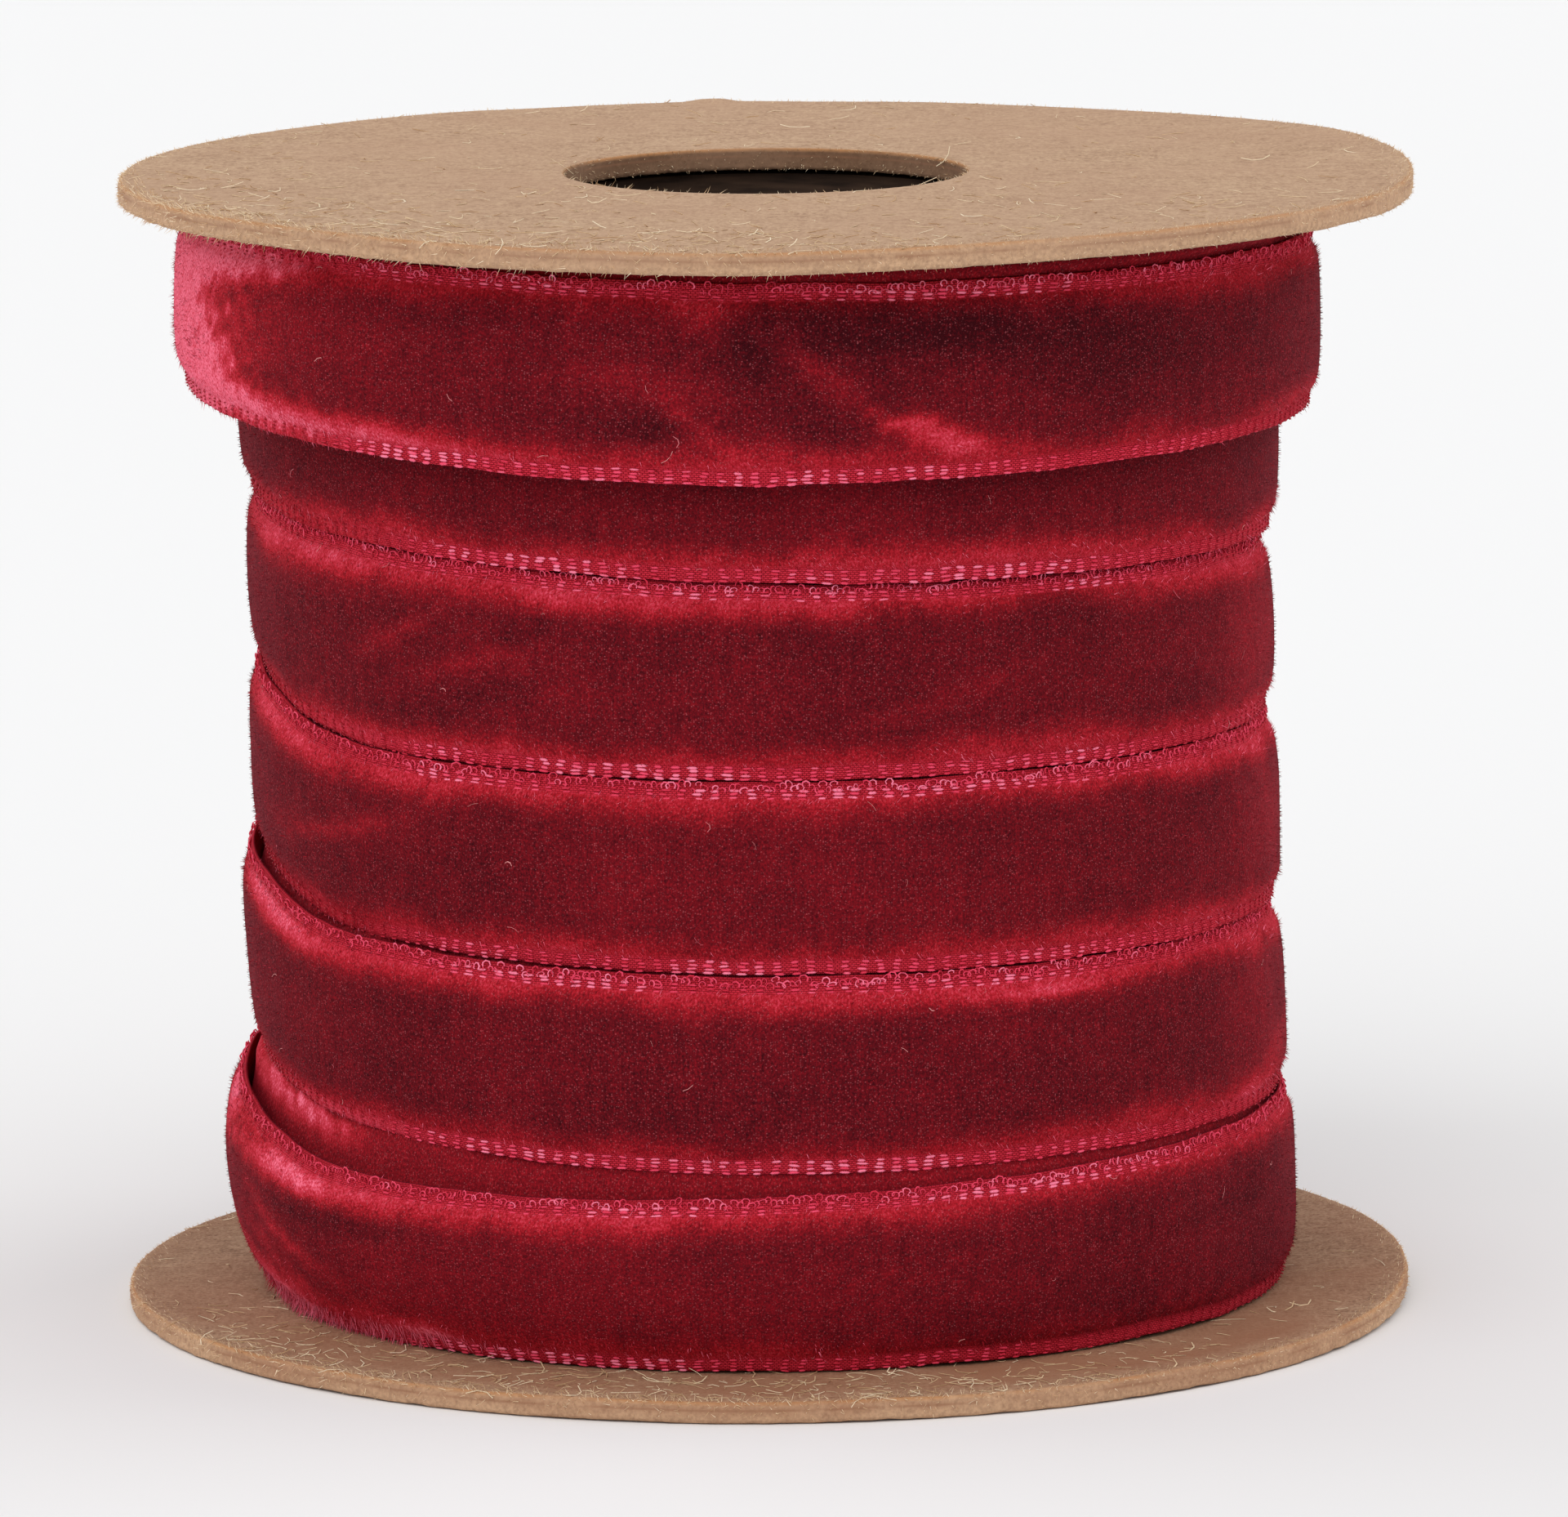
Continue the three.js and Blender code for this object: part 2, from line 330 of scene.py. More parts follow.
def plus(tree, a, b):
    return mathNode(tree, "ADD", a, b)


def minus(tree, a, b):
    return mathNode(tree, "SUBTRACT", a, b)


def times(tree, a, b):
    return mathNode(tree, "MULTIPLY", a, b)


def paint(red, green, blue):
    # a colour as 0 to 255 on screen, turned to the linear values that a shader takes
    return tuple(((c / 255 + 0.055) / 1.055) ** 2.4 if c > 10 else c / 255 / 12.92
                 for c in (red, green, blue))


def ramp(tree, source, stops):
    node = add(tree, "ShaderNodeValToRGB", {"Fac": source})
    elements = node.color_ramp.elements
    while len(elements) < len(stops):
        elements.new(0.5)
    for element, (place, colour) in zip(elements, stops):
        element.position = place
        element.color = (*colour, 1)
    return node.outputs["Color"]


def noiseAt(tree, vector, scale, detail=3.0, roughness=0.5):
    inputs = {"Vector": vector, "Scale": scale, "Detail": detail, "Roughness": roughness}
    return add(tree, "ShaderNodeTexNoise", inputs).outputs["Fac"]


def stretched(tree, vector, scale, turn=(0, 0, 0)):
    inputs = {"Vector": vector, "Scale": scale, "Rotation": turn}
    return add(tree, "ShaderNodeMapping", inputs).outputs["Vector"]


def mixed(tree, share, a, b):
    a, b = [(*colour, 1) if isinstance(colour, tuple) else colour for colour in (a, b)]
    inputs = {"Factor": share, "A": a, "B": b}
    return add(tree, "ShaderNodeMix", inputs, data_type="RGBA").outputs["Result"]


def between(tree, value, low, high, bottom=0.0, top=1.0):
    inputs = {"Value": value, "From Min": low, "From Max": high, "To Min": bottom, "To Max": top}
    return add(tree, "ShaderNodeMapRange", inputs).outputs["Result"]


def valueOf(tree, attribute):
    return add(tree, "ShaderNodeAttribute", attribute_name=attribute).outputs["Fac"]


def objectPlace(tree):
    return add(tree, "ShaderNodeTexCoord").outputs["Object"]


def bumpOf(tree, height, strength):
    inputs = {"Strength": strength, "Distance": 0.1 * mm, "Height": height}
    return add(tree, "ShaderNodeBump", inputs).outputs["Normal"]


# pressed kraft board of the discs
kraft = {
    "pale": paint(204, 173, 142),
    "face": paint(183, 150, 122),
    "dark": paint(158, 124, 98),
    "fleck": paint(112, 82, 64),
    "stops": [(0.12, "fleck"), (0.34, "dark"), (0.52, "face"), (0.8, "pale")],
    "scorch": paint(186, 132, 86),      # the corner where the cutter went in
    "cut": paint(206, 168, 134),
    "seam": paint(150, 108, 82),        # line between the plies in the cut
    "seamLevel": 0.62,      # share of the board's thickness
    "boreDark": paint(104, 72, 52),        # the cut round the hole, darker
    "boreDarkShare": 0.75,
    "cloud": (210, 0.22),   # noise scale and weight of each layer of the mottling
    "grain": (5600, 0.6),
    "pulp": (1400, 0.4),
    "fibres": 0.5,
    "fibreScales": [((900, 5200, 3000), (0, 0, 0.6)), ((5000, 1000, 3000), (0, 0, 0.3))],
    "tone": 0.36,           # taken off the layers' sum
    "patchScale": 330,
    "stainScale": 110,
    "stainShare": 0.45,
    "roughness": 0.88,
    "bump": 0.3,
    "cutSteps": 420,        # straight sides round the rim
    "cutRough": 0.04,       # mm, how uneven the cut is
    "rimWidth": 1.2,        # mm at the rim and at the hole that the uneven cut reaches
    "boreWidth": 0.8,
    "waves": 0.03,          # mm, of the face
    "burr": 0.05,
    "liftedPly": 0.14,
    "plyAt": 95,            # degrees, from the right round the back
    # radii in mm that divide the face, then mm in from the rim or the hole, mm up and level of each cut
    "rings": [10.12, 10.5, 12, 15, 18.5, 22, 24, 25.5, 27, 28.5, 29.8, 30.8, 31.4, 31.76],
    "rimCut": [(0.06, 0.07, 0.06), (0, 0.25, 0.24), (0.02, 0.5, 0.46), (0, 0.68, 0.62),
               (0.02, 0.87, 0.8), (0.1, 1.04, 0.95)],
    "boreCut": [(0.02, 1.04, 0.97), (0, 0.88, 0.8), (0, 0.5, 0.45), (0, 0.2, 0.2), (0.02, 0.06, 0.05)],
    "upperStain": paint(180, 144, 118),
    # painted shade on the lower disc: a darker stain colour, and darker all over
    "lowerStainAndShade": paint(150, 102, 76),
    "lowerDarker": 0.12,
    "ribbonShadeRing": (24, 27, 29.5, 31.5),     # mm from the middle, where painted shade, darker and redder, lies on the lower disc's front near the ribbon
}


def kraftMaterial(name, k, darker, stainAndShade):
    mat, tree, shader = nodeMaterial(name)
    place = objectPlace(tree)
    cut, level, bored, ribbonShade = [valueOf(tree, label) for label in ("cut", "level", "bored", "ribbonShade")]
    cloud = noiseAt(tree, place, k["cloud"][0], 4)
    grain = noiseAt(tree, place, k["grain"][0], 2, 0.6)
    pulp = noiseAt(tree, place, k["pulp"][0], 3, 0.6)
    fibres = [noiseAt(tree, stretched(tree, place, *way), 1.0, 2) for way in k["fibreScales"]]
    fibres = mathNode(tree, "MAXIMUM", *fibres)
    tone = times(tree, cloud, k["cloud"][1])
    for layer, weight in ((fibres, k["fibres"]), (grain, k["grain"][1]), (pulp, k["pulp"][1])):
        tone = plus(tree, tone, times(tree, layer, weight))
    tone = minus(tree, tone, k["tone"] + darker)
    colour = ramp(tree, tone, [(share, k[label]) for share, label in k["stops"]])
    # the cut wall: a scorched corner on top, pale pulp and a darker line between the plies
    patchy = noiseAt(tree, place, k["patchScale"], 3)
    torn = times(tree, plus(tree, grain, fibres), 0.5)
    wall = mixed(tree, between(tree, torn, 0.36, 0.62, 0.1, 1.0), k["dark"], k["cut"])
    warm = times(tree, between(tree, level, 0.3, 0.6), between(tree, level, 0.95, 0.75))
    warm = times(tree, warm, between(tree, patchy, 0.35, 0.6, 0.1, 0.5))
    wall = mixed(tree, warm, wall, k["seam"])
    wall = mixed(tree, times(tree, bored, k["boreDarkShare"]), wall, k["boreDark"])
    fromSeam = mathNode(tree, "ABSOLUTE", minus(tree, level, k["seamLevel"]))
    ply = times(tree, between(tree, fromSeam, 0.02, 0.08, 0.55, 0), between(tree, patchy, 0.4, 0.55))
    wall = mixed(tree, ply, wall, k["seam"])
    corner = times(tree, between(tree, level, 0.8, 0.97), between(tree, patchy, 0.38, 0.56, 0.35, 1))
    wall = mixed(tree, corner, wall, k["scorch"])
    colour = mixed(tree, cut, colour, wall)
    cloudy = between(tree, noiseAt(tree, place, k["stainScale"], 4), 0.35, 0.68, 0, k["stainShare"])
    # painted shade, darker and redder, near the ribbon
    cloudy = plus(tree, cloudy, times(tree, ribbonShade, 0.5))
    setInputs(tree, shader, {
        "Base Color": mixed(tree, cloudy, colour, stainAndShade),
        "Roughness": k["roughness"],
        "Specular IOR Level": 0.2,
        "Normal": bumpOf(tree, plus(tree, fibres, pulp), k["bump"]),
    })
    return mat


def boardDisc(name, disc, base, shift, material, k):
    board, radius, hole = roll["board"], roll["discRadius"], roll["holeRadius"]
    isUpper = disc == "upper"
    # radius, height, whether it is on a cut, and its level in the board from 0 to 1
    outline = [(r, base, 0, 0) for r in k["rings"]]
    outline += [(radius - inwards, base + up, 1, share) for inwards, up, share in k["rimCut"]]
    outline += [(r, base + board, 0, 1) for r in reversed(k["rings"])]
    outline += [(hole + inwards, base + up, 1, share) for inwards, up, share in k["boreCut"]]
    count = k["cutSteps"]
    angle = np.arange(count) * 2 * math.pi / count
    line = np.array(outline, float)
    r, z, cut, level = (np.repeat(line[None, :, i], count, 0) for i in range(4))
    a = np.repeat(angle[:, None], len(outline), 1)
    rim = smoothstep(r, radius - k["rimWidth"], radius) + smoothstep(-r, -hole - k["boreWidth"], -hole)
    seed = 5 if isUpper else 9
    around = a * radius
    uneven = wave(seed, around, z * 3, 2.2) + 0.7 * wave(seed + 1, around, z * 4, 0.7)
    r = r + k["cutRough"] * uneven * rim
    x, y = r * np.cos(a) + shift, r * np.sin(a)
    z = z + bendAt(disc, x - shift, y) + k["waves"] * wave(seed + 2, x, y, 14, 2) * smoothstep(r, 14, 26)
    # burrs along the lower corner of the cut, and a lifted ply at the back of the upper disc
    burrs = k["burr"] * np.abs(wave(seed + 3, around, 0, 0.9)) * rim * (level < 0.1)
    z = z + burrs * (-1 if isUpper else 1)
    if isUpper:
        behind = np.exp(-((a - math.radians(k["plyAt"])) / 0.034) ** 4)
        z = z + k["liftedPly"] * behind * smoothstep(r, 30.4, 31.6) * (level > 0.5)
    else:
        z = np.maximum(z, 0)
    points = np.stack([x, y, z], -1).reshape(-1, 3) * mm
    faces = [f[::-1] for f in gridFaces(count, len(outline), True, True)]
    piece = meshPiece(name, points, faces, material)
    # painted shade, darker and redder, on the lower disc's front near the ribbon
    ribbonShade = hump(r, *k["ribbonShadeRing"]) * smoothstep(-y / r, -0.2, 0.7) * (not isUpper)
    for label, values in (("cut", cut), ("level", level), ("bored", cut * (r < 20)), ("ribbonShade", ribbonShade)):
        setValues(piece.data, label, "FLOAT", values)
    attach(piece, "root")
    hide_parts("disc_" + disc)
    return piece


kraftUpper = kraftMaterial("kraftUpper", kraft, 0.0, kraft["upperStain"])
# the lower disc's material is the upper's with painted shade
kraftLower = kraftMaterial("kraftLower", kraft, kraft["lowerDarker"], kraft["lowerStainAndShade"])
lowerDisc = boardDisc("boardDiscLower", "lower", 0, 0, kraftLower, kraft)
upperDisc = boardDisc("boardDiscUpper", "upper", roll["height"] - roll["board"], roll["upperDiscShift"],
                      kraftUpper, kraft)
print("board discs made")

# the core keeps its CAD tube, with a darker board on it
core = {"shade": paint(54, 42, 36), "light": paint(96, 74, 60), "scale": (300, 300, 2600)}


def coreMaterial(c):
    mat, tree, shader = nodeMaterial("coreBoard")
    wound = noiseAt(tree, stretched(tree, objectPlace(tree), c["scale"], (0.25, 0, 0)), 1.0, 3)
    colour = ramp(tree, wound, [(0.3, c["shade"]), (0.7, c["light"])])
    setInputs(tree, shader, {"Base Color": colour, "Roughness": 0.9, "Specular IOR Level": 0.2})
    return mat


coreBoard = coreMaterial(core)
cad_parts["core"].data.materials.clear()
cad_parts["core"].data.materials.append(coreBoard)
print("core finished")

# the ribbon: one long strip of velvet, wound from the cut end at the back down to the lower disc
ribbon = {
    "step": 1.4,            # degrees from one row of points to the next along its edges
    "frontStep": 0.9,       # and across its faces, on the side with the crushed pile and elsewhere
    "backStep": 1.8,
    "width": 10,
    "backing": 0.24,        # mm, thickness of the woven ground
    "pile": 0.68,           # mm, height of the pile in the middle
    # how far the surface falls in near an edge, by mm from that edge
    "edgeFall": [(0, 0.70), (0.05, 0.56), (0.2, 0.52), (0.45, 0.51), (0.72, 0.49), (0.9, 0.36),
                 (1.1, 0.23), (1.4, 0.12), (1.8, 0.06), (2.3, 0.03), (2.9, 0.01), (3.5, 0)],
    "lie": 0.06,            # mm under the CAD part's surface
    "tuckedWidth": 9.55,    # mm, where the upper edge is hidden
    "wander": 0.05,         # mm, of the edges and of the surface
    "wanderEvery": 13,      # degrees
    "backLines": [0.988, 0.9, 0.65, 0.35, 0.1, 0.012],  # shares of the width, on the strip's back
    "selvedge": 0.75,       # mm at each edge without pile
}


def ribbonHeights(at):
    # the strip's own edges: below the turn above, or hidden under it
    lower = seamHeight(at + 360)
    lift, rises, risen = roll["footLift"]
    foot = roll["board"] + roll["clearOfBoard"] + lift * smoothstep(at, rises, risen)
    lower = np.maximum(lower, foot)
    seam = seamHeight(np.maximum(at, roll["cutFinish"]))
    tucked = hump(at, *roll["tucked"]) + smoothstep(at, *roll["tailTucked"])
    upper = seam - np.where(at < 0, roll["gapeAtCut"], gapeOf(at))
    upper = upper + np.maximum(lower + ribbon["tuckedWidth"] - upper, 0) * tucked
    return upper, lower


def ribbonRadius(at, across):
    upper = upperRadius(at) + looseEdge(at - roll["lowestTurn"] * 360)
    middle = bulgeOf(at) * 4 * across * (1 - across)
    deep, starts, ends = roll["tailSinks"]
    return upper + (lowerRadius(at) - upper) * across + middle - deep * smoothstep(at, starts, ends)


def slantOf(at):
    # how far the lower edge runs behind the upper one, in degrees: the free end is cut at a slant
    return (roll["cutFinish"] - roll["cutStart"]) * (1 - smoothstep(at, roll["cutStart"], -30))


def ribbonWidth(at):
    return ribbonHeights(at)[0] - ribbonHeights(at + slantOf(at))[1]


def ribbonPoint(at, across, fall):
    # a point on the ribbon's outside, for an upper edge at this many degrees
    at = at + slantOf(at) * across
    upper, lower = ribbonHeights(at)
    little, along = ribbon["wander"], at / ribbon["wanderEvery"]
    wander = little * wave(31, along, 0, 1) * (1 - across) + little * wave(32, along, 0, 1) * across
    height = upper + (lower - upper) * across + wander
    radius = ribbonRadius(at, across) - fall
    radius = radius + little * wave(33, alongMm(at), height, 9, 2)
    angle = np.radians(at) + math.pi
    return np.stack([radius * np.cos(angle), radius * np.sin(angle), height], -1)


def stripRows():
    rows = [roll["cutStart"]]
    while rows[-1] < roll["tailEnd"]:
        front = -30 < (rows[-1] + 30) % 360 - 30 < 215
        rows.append(rows[-1] + (ribbon["frontStep"] if front else ribbon["backStep"]))
    return np.array(rows)


def acrossLines(at):
    # shares across the ribbon of the lines of points, closer together near the edges
    width = ribbonWidth(at)[:, None]
    near = np.array([d for d, _ in ribbon["edgeFall"]])[None, :]
    fromTop = np.concatenate([near / width, (near[:, -1:] / width + 0.5) / 2], 1)
    return np.concatenate([fromTop, np.full((len(at), 1), 0.5), 1 - fromTop[:, ::-1]], 1), width


fallOf = smoothCurve(ribbon["edgeFall"])

# how the pile lies, as painted sheen: a glow from 0, where it stands up dark, to 1, where it lies down and
# shines
nap = {
    "base": 0.20,
    "most": 0.92,
    # bands of painted sheen along the upper and lower edges, where the pile leans over them
    "topBand": (0.44, 0.6, 2.3),        # strength, and mm from the edge where it starts and ends fading
    "footBand": (0.40, 0.55, 2.35),
    "ragged": (0.22, 0.10),             # mm, large and small unevenness of the bands
    "drift": 0.30,                      # mm that the bands wander across the ribbon
    "clouds": 0.045,
    "flecks": 0.03,
    # degrees from the left side where the pile hides the woven edge, and where less of it shows
    "overEdge": (-60, -30, 34, 52),
    "lessEdge": (135, 165, 185, 215),
    # patches of painted sheen and painted shade where the pile is crushed or upright, and of painted light
    # against
    # shade: degrees along the strip, mm down from the upper edge, length and width in mm, turn in degrees
    # (0 along the strip, positive falls to the right) and change of glow
    "places": [
        (7, 4.0, 6.8, 9.0, 0, 0.84), (22, 1.2, 6.5, 1.2, 0, 0.5),
        (21, 6.6, 3.6, 1.9, 0, 0.42), (25, 4.6, 5.2, 4.5, 0, 0.2),
        (34, 7.9, 12.0, 0.9, 3, 0.3), (42, 4.5, 8.0, 3.0, 0, 0.09),
        (84, 1.5, 1.9, 0.9, 0, 0.22), (78, 4.9, 4.0, 1.0, 8, 0.16),
        (84, 6.9, 2.4, 0.5, 38, 0.22), (79, 7.0, 1.9, 0.7, 5, -0.12),
        (96, 4.4, 3.2, 0.6, 40, 0.2), (107, 7.3, 2.4, 0.7, 16, 0.42),
        (105, 6.7, 1.6, 0.5, 10, 0.2), (96, 7.2, 1.8, 1.0, 20, -0.14),
        (106, 2.6, 8.0, 1.0, 0, -0.16), (128, 3.6, 10.0, 2.4, 4, -0.09),
        (89, 3.6, 1.6, 1.4, 60, -0.12), (747, 1.8, 7.0, 1.2, 0, 0.16),
        (765, 4.1, 3.4, 0.5, -24, 0.2), (775, 4.9, 4.4, 0.5, -16, 0.17),
        (783, 3.1, 2.6, 0.7, -20, -0.12), (779, 6.2, 3.2, 0.8, -12, -0.12),
        (830, 5.6, 7.0, 0.5, -17, 0.11), (884, 4.6, 6.0, 4.0, 0, 0.16),
        (1118, 4.0, 6.0, 0.45, -15, 0.2), (1104, 5.4, 4.0, 0.6, -12, 0.08),
        (1244, 4.4, 6.0, 4.0, 0, 0.12), (1458, 1.2, 6.0, 0.9, 4, 0.26),
        (1562, 1.4, 3.6, 0.4, 0, 0.3), (1606, 7.2, 6.0, 1.2, -12, 0.22),
        (1604, 4.0, 6.0, 3.0, 0, 0.1), (1806, 1.6, 3.0, 1.5, 10, 0.4),
        (1826, 1.7, 6.4, 0.7, -3, 0.38), (1838, 2.6, 7.0, 0.6, -3, -0.14),
        (1826, 4.4, 3.0, 0.6, 16, 0.2), (1834, 5.2, 3.5, 0.5, 12, 0.16),
        (1828, 6.6, 4.5, 0.8, 14, 0.2), (1846, 7.4, 4.0, 0.7, 4, 0.16),
        (1950, 3.6, 5.0, 0.9, -4, -0.1), (1098, 1.3, 5.0, 0.9, 0, 0.16),
        (1186, 1.3, 12.0, 0.7, 0, -0.1), (1918, 1.3, 26.0, 0.7, 0, -0.1),
        (100, 1.3, 24.0, 0.7, 0, -0.13), (138, 8.3, 22.0, 0.8, 0, -0.1),
        (1952, 8.8, 24.0, 1.2, 0, -0.3), (1840, 9.2, 13.0, 1.1, 0, 0.5),
        (1484, 9.4, 9.0, 0.8, 0, 0.16), (764, 9.4, 9.0, 0.7, 0, 0.1),
        (1853, 8.2, 2.6, 0.9, 20, 0.22), (1860, 5.0, 24.0, 4.5, 0, 0.1),
        (455, 6.6, 22.0, 2.0, 0, 0.07), (1172, 5.0, 14.0, 3.0, 0, 0.07),
        (780, 1.4, 22.0, 0.8, 0, 0.07), (786, 5.0, 5.0, 3.0, 0, 0.08),
        (1814, 7.6, 9.0, 1.0, 4, 0.3),
    ],
}


def bareAt(at, fromTop):
    # where along the strip the woven edge shows: on the left the pile lies over it
    turned = (at + 90) % 360 - 90
    hidden = hump(turned, *nap["overEdge"]) * (np.where(at < 200, 1.0, 0.15) if fromTop else 1.0)
    return 1 - 0.96 * hidden - 0.35 * hump(turned, *nap["lessEdge"])


def bareBoth(at, inUpperHalf):
    return np.where(inUpperHalf, bareAt(at, True)[:, None], bareAt(at, False)[:, None])


def pileGlow(at, down, width):
    along = alongMm(at)
    large, small = nap["ragged"]
    ragged = large * wave(41, along, down, 4.5, 3) + small * wave(45, along, down, 0.9, 2)
    drift = nap["drift"] * wave(46, along, 0, 24, 2)
    top, topFades, topEnds = nap["topBand"]
    foot, footFades, footEnds = nap["footBand"]
    glow = top * (1 - smoothstep(down + ragged + drift, topFades, topEnds))
    glow = np.maximum(glow, foot * (1 - smoothstep(width - down + ragged - drift, footFades, footEnds)))
    glow = glow + nap["base"] + nap["clouds"] * wave(42, along, down * 1.3, 9, 4)
    glow = glow + nap["flecks"] * wave(43, along * 1.6, down, 1.2, 3)
    rough = np.clip(1 + 0.45 * wave(44, along, down, 1.5, 3), 0.3, 2)
    for place, deep, long, wide, turn, light in nap["places"]:
        x, y = along - alongMm(place), down - deep
        if not (np.abs(x) < (long + wide) * 2.5).any():
            continue
        c, d = math.cos(math.radians(turn)), math.sin(math.radians(turn))
        u, v = (x * c + y * d) / long, (-x * d + y * c) / wide
        glow = glow + light * np.exp(-1.2 * ((u * u + v * v) * rough) ** 1.5)
    return np.clip(glow, 0, nap["most"])


# colours of the velvet by glow, from dark, upright pile to pale, crushed pile; the pale pinks are painted
# sheen
velvet = {
    "stops": [(0.0, paint(58, 11, 18)), (0.2, paint(96, 16, 25)), (0.4, paint(130, 20, 30)),
              (0.6, paint(174, 30, 42)), (0.8, paint(208, 58, 78)), (1.0, paint(248, 116, 142))],
    # noise scale and weight of each layer, for a uv of one ribbon's width
    "fine": ((90, 62, 1), 0.85),
    "mottle": (11, 0.30),
    "ribs": ((44, 2.0, 1), 0.16),
    "glint": paint(206, 104, 112),      # single fibres that catch the light
    "glintScale": (84, 96, 1),
    "glintShare": 0.45,
    "sheen": 0.10,
    "sheenRoughness": 0.35,
    "sheenTint": paint(255, 90, 125),
    # the woven edge's ground, made lighter: painted light against the shade in the groove between turns
    "selvedge": paint(206, 48, 66),
    # the weave's dark joints, and the painted shade under the edge loops
    "selvedgeDark": paint(124, 16, 28),
    "weaveScale": (24, 24, 1),
    "bump": 0.4,
}


def sheenOf(v):
    return {"Sheen Weight": v["sheen"], "Sheen Roughness": v["sheenRoughness"],
            "Sheen Tint": (*v["sheenTint"], 1)}


def velvetMaterial(v):
    mat, tree, shader = nodeMaterial("velvetPile")
    uv = add(tree, "ShaderNodeUVMap", uv_map="ribbonUv").outputs["UV"]
    fine = noiseAt(tree, stretched(tree, uv, v["fine"][0]), 1.0, 2, 0.6)
    mottle = noiseAt(tree, uv, v["mottle"][0], 5, 0.65)
    ribs = noiseAt(tree, stretched(tree, uv, v["ribs"][0]), 1.0, 1)
    tone = valueOf(tree, "glow")
    for layer, label in ((fine, "fine"), (mottle, "mottle"), (ribs, "ribs")):
        tone = plus(tree, tone, times(tree, minus(tree, layer, 0.5), v[label][1]))
    dots = add(tree, "ShaderNodeTexVoronoi", {"Vector": stretched(tree, uv, v["glintScale"]), "Scale": 1.0})
    dotTone = add(tree, "ShaderNodeSeparateColor", {"Color": dots.outputs["Color"]}).outputs["Red"]
    spark = times(tree, between(tree, dots.outputs["Distance"], 0.15, 0.40, 1, 0),
                  between(tree, dotTone, 0.3, 1.0, 0, v["glintShare"]))
    pile = mixed(tree, spark, ramp(tree, tone, v["stops"]), v["glint"])
    weave = add(tree, "ShaderNodeTexBrick", {
        "Vector": stretched(tree, uv, v["weaveScale"]),
        "Scale": 1.0,
        "Color1": (*v["selvedge"], 1),
        "Color2": (*v["selvedge"], 1),
        "Mortar": (*v["selvedgeDark"], 1),
        "Mortar Size": 0.07,
        "Mortar Smooth": 0.6,
    })
    # painted shade under the edge loops darkens the woven edge
    woven = mixed(tree, valueOf(tree, "underLoopShade"), weave.outputs["Color"], v["selvedgeDark"])
    setInputs(tree, shader, {
        "Base Color": mixed(tree, valueOf(tree, "bare"), pile, woven),
        "Roughness": 0.8,
        "Specular IOR Level": 0.03,
        "Normal": bumpOf(tree, fine, v["bump"]),
        **sheenOf(v),
    })
    return mat


velvetPile = velvetMaterial(velvet)


def capFaces(outside, inside):
    # closes an end, by going along its outer and inner line together
    faces = []
    i = j = 0
    while i < len(outside) - 1 or j < len(inside) - 1:
        if j == len(inside) - 1 or (i < len(outside) - 1 and i / len(outside) <= j / len(inside)):
            faces.append((outside[i], inside[j], outside[i + 1]))
            i += 1
        else:
            faces.append((outside[i], inside[j], inside[j + 1]))
            j += 1
    return faces


def makeStrip():
    at = stripRows()
    across, width = acrossLines(at)
    lines = across.shape[1]
    edge = np.minimum(across, 1 - across) * width
    outer = ribbonPoint(at[:, None], across, fallOf(edge) + ribbon["lie"])
    backs = []
    for share in ribbon["backLines"]:
        fromEdge = min(share, 1 - share)
        near = fromEdge * width[:, 0]
        deep = fallOf(near) + ribbon["lie"] + ribbon["backing"] * min(1, 8 * fromEdge + 0.2)
        deep = np.where(near > 1.0, ribbon["pile"] + ribbon["backing"], deep)
        backs.append(ribbonPoint(at, np.full(len(at), share), deep))
    loop = np.concatenate([outer, np.stack(backs, 1)], 1)
    columns = loop.shape[1]
    faces = [f[::-1] for f in gridFaces(len(at), columns, False, True)]
    for row in (0, len(at) - 1):
        ring = [row * columns + j for j in range(columns)]
        cap = capFaces(ring[:lines], ring[lines:][::-1])
        faces += [f[::-1] for f in cap] if row else cap
    piece = meshPiece("ribbonStrip", loop.reshape(-1, 3) * mm, faces, velvetPile)
    down = np.concatenate([across * width] + [share * width for share in ribbon["backLines"]], 1)
    full = np.repeat(width, columns, 1)
    near = np.minimum(down, full - down)
    pileStarts = smoothstep(near, ribbon["selvedge"] - 0.12, ribbon["selvedge"] + 0.15)
    # painted shade under the edge loops, along the upper edge of the lower turns
    underLoopShade = 0.5 * (1 - smoothstep(down, 0.1, 0.35)) * (at > 200)[:, None]
    setValues(piece.data, "glow", "FLOAT", pileGlow(np.repeat(at[:, None], columns, 1), down, full))
    setValues(piece.data, "bare", "FLOAT", bareBoth(at, down < full / 2) * (1 - pileStarts))
    setValues(piece.data, "underLoopShade", "FLOAT", underLoopShade)
    u = alongMm(at) / ribbon["width"]
    setRibbonUv(piece.data, np.repeat(u[:, None], columns, 1), down / full)
    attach(piece, "root")
    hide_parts("ribbon")
    return piece


ribbonStrip = makeStrip()
print("ribbon strip made:", len(ribbonStrip.data.polygons), "faces")

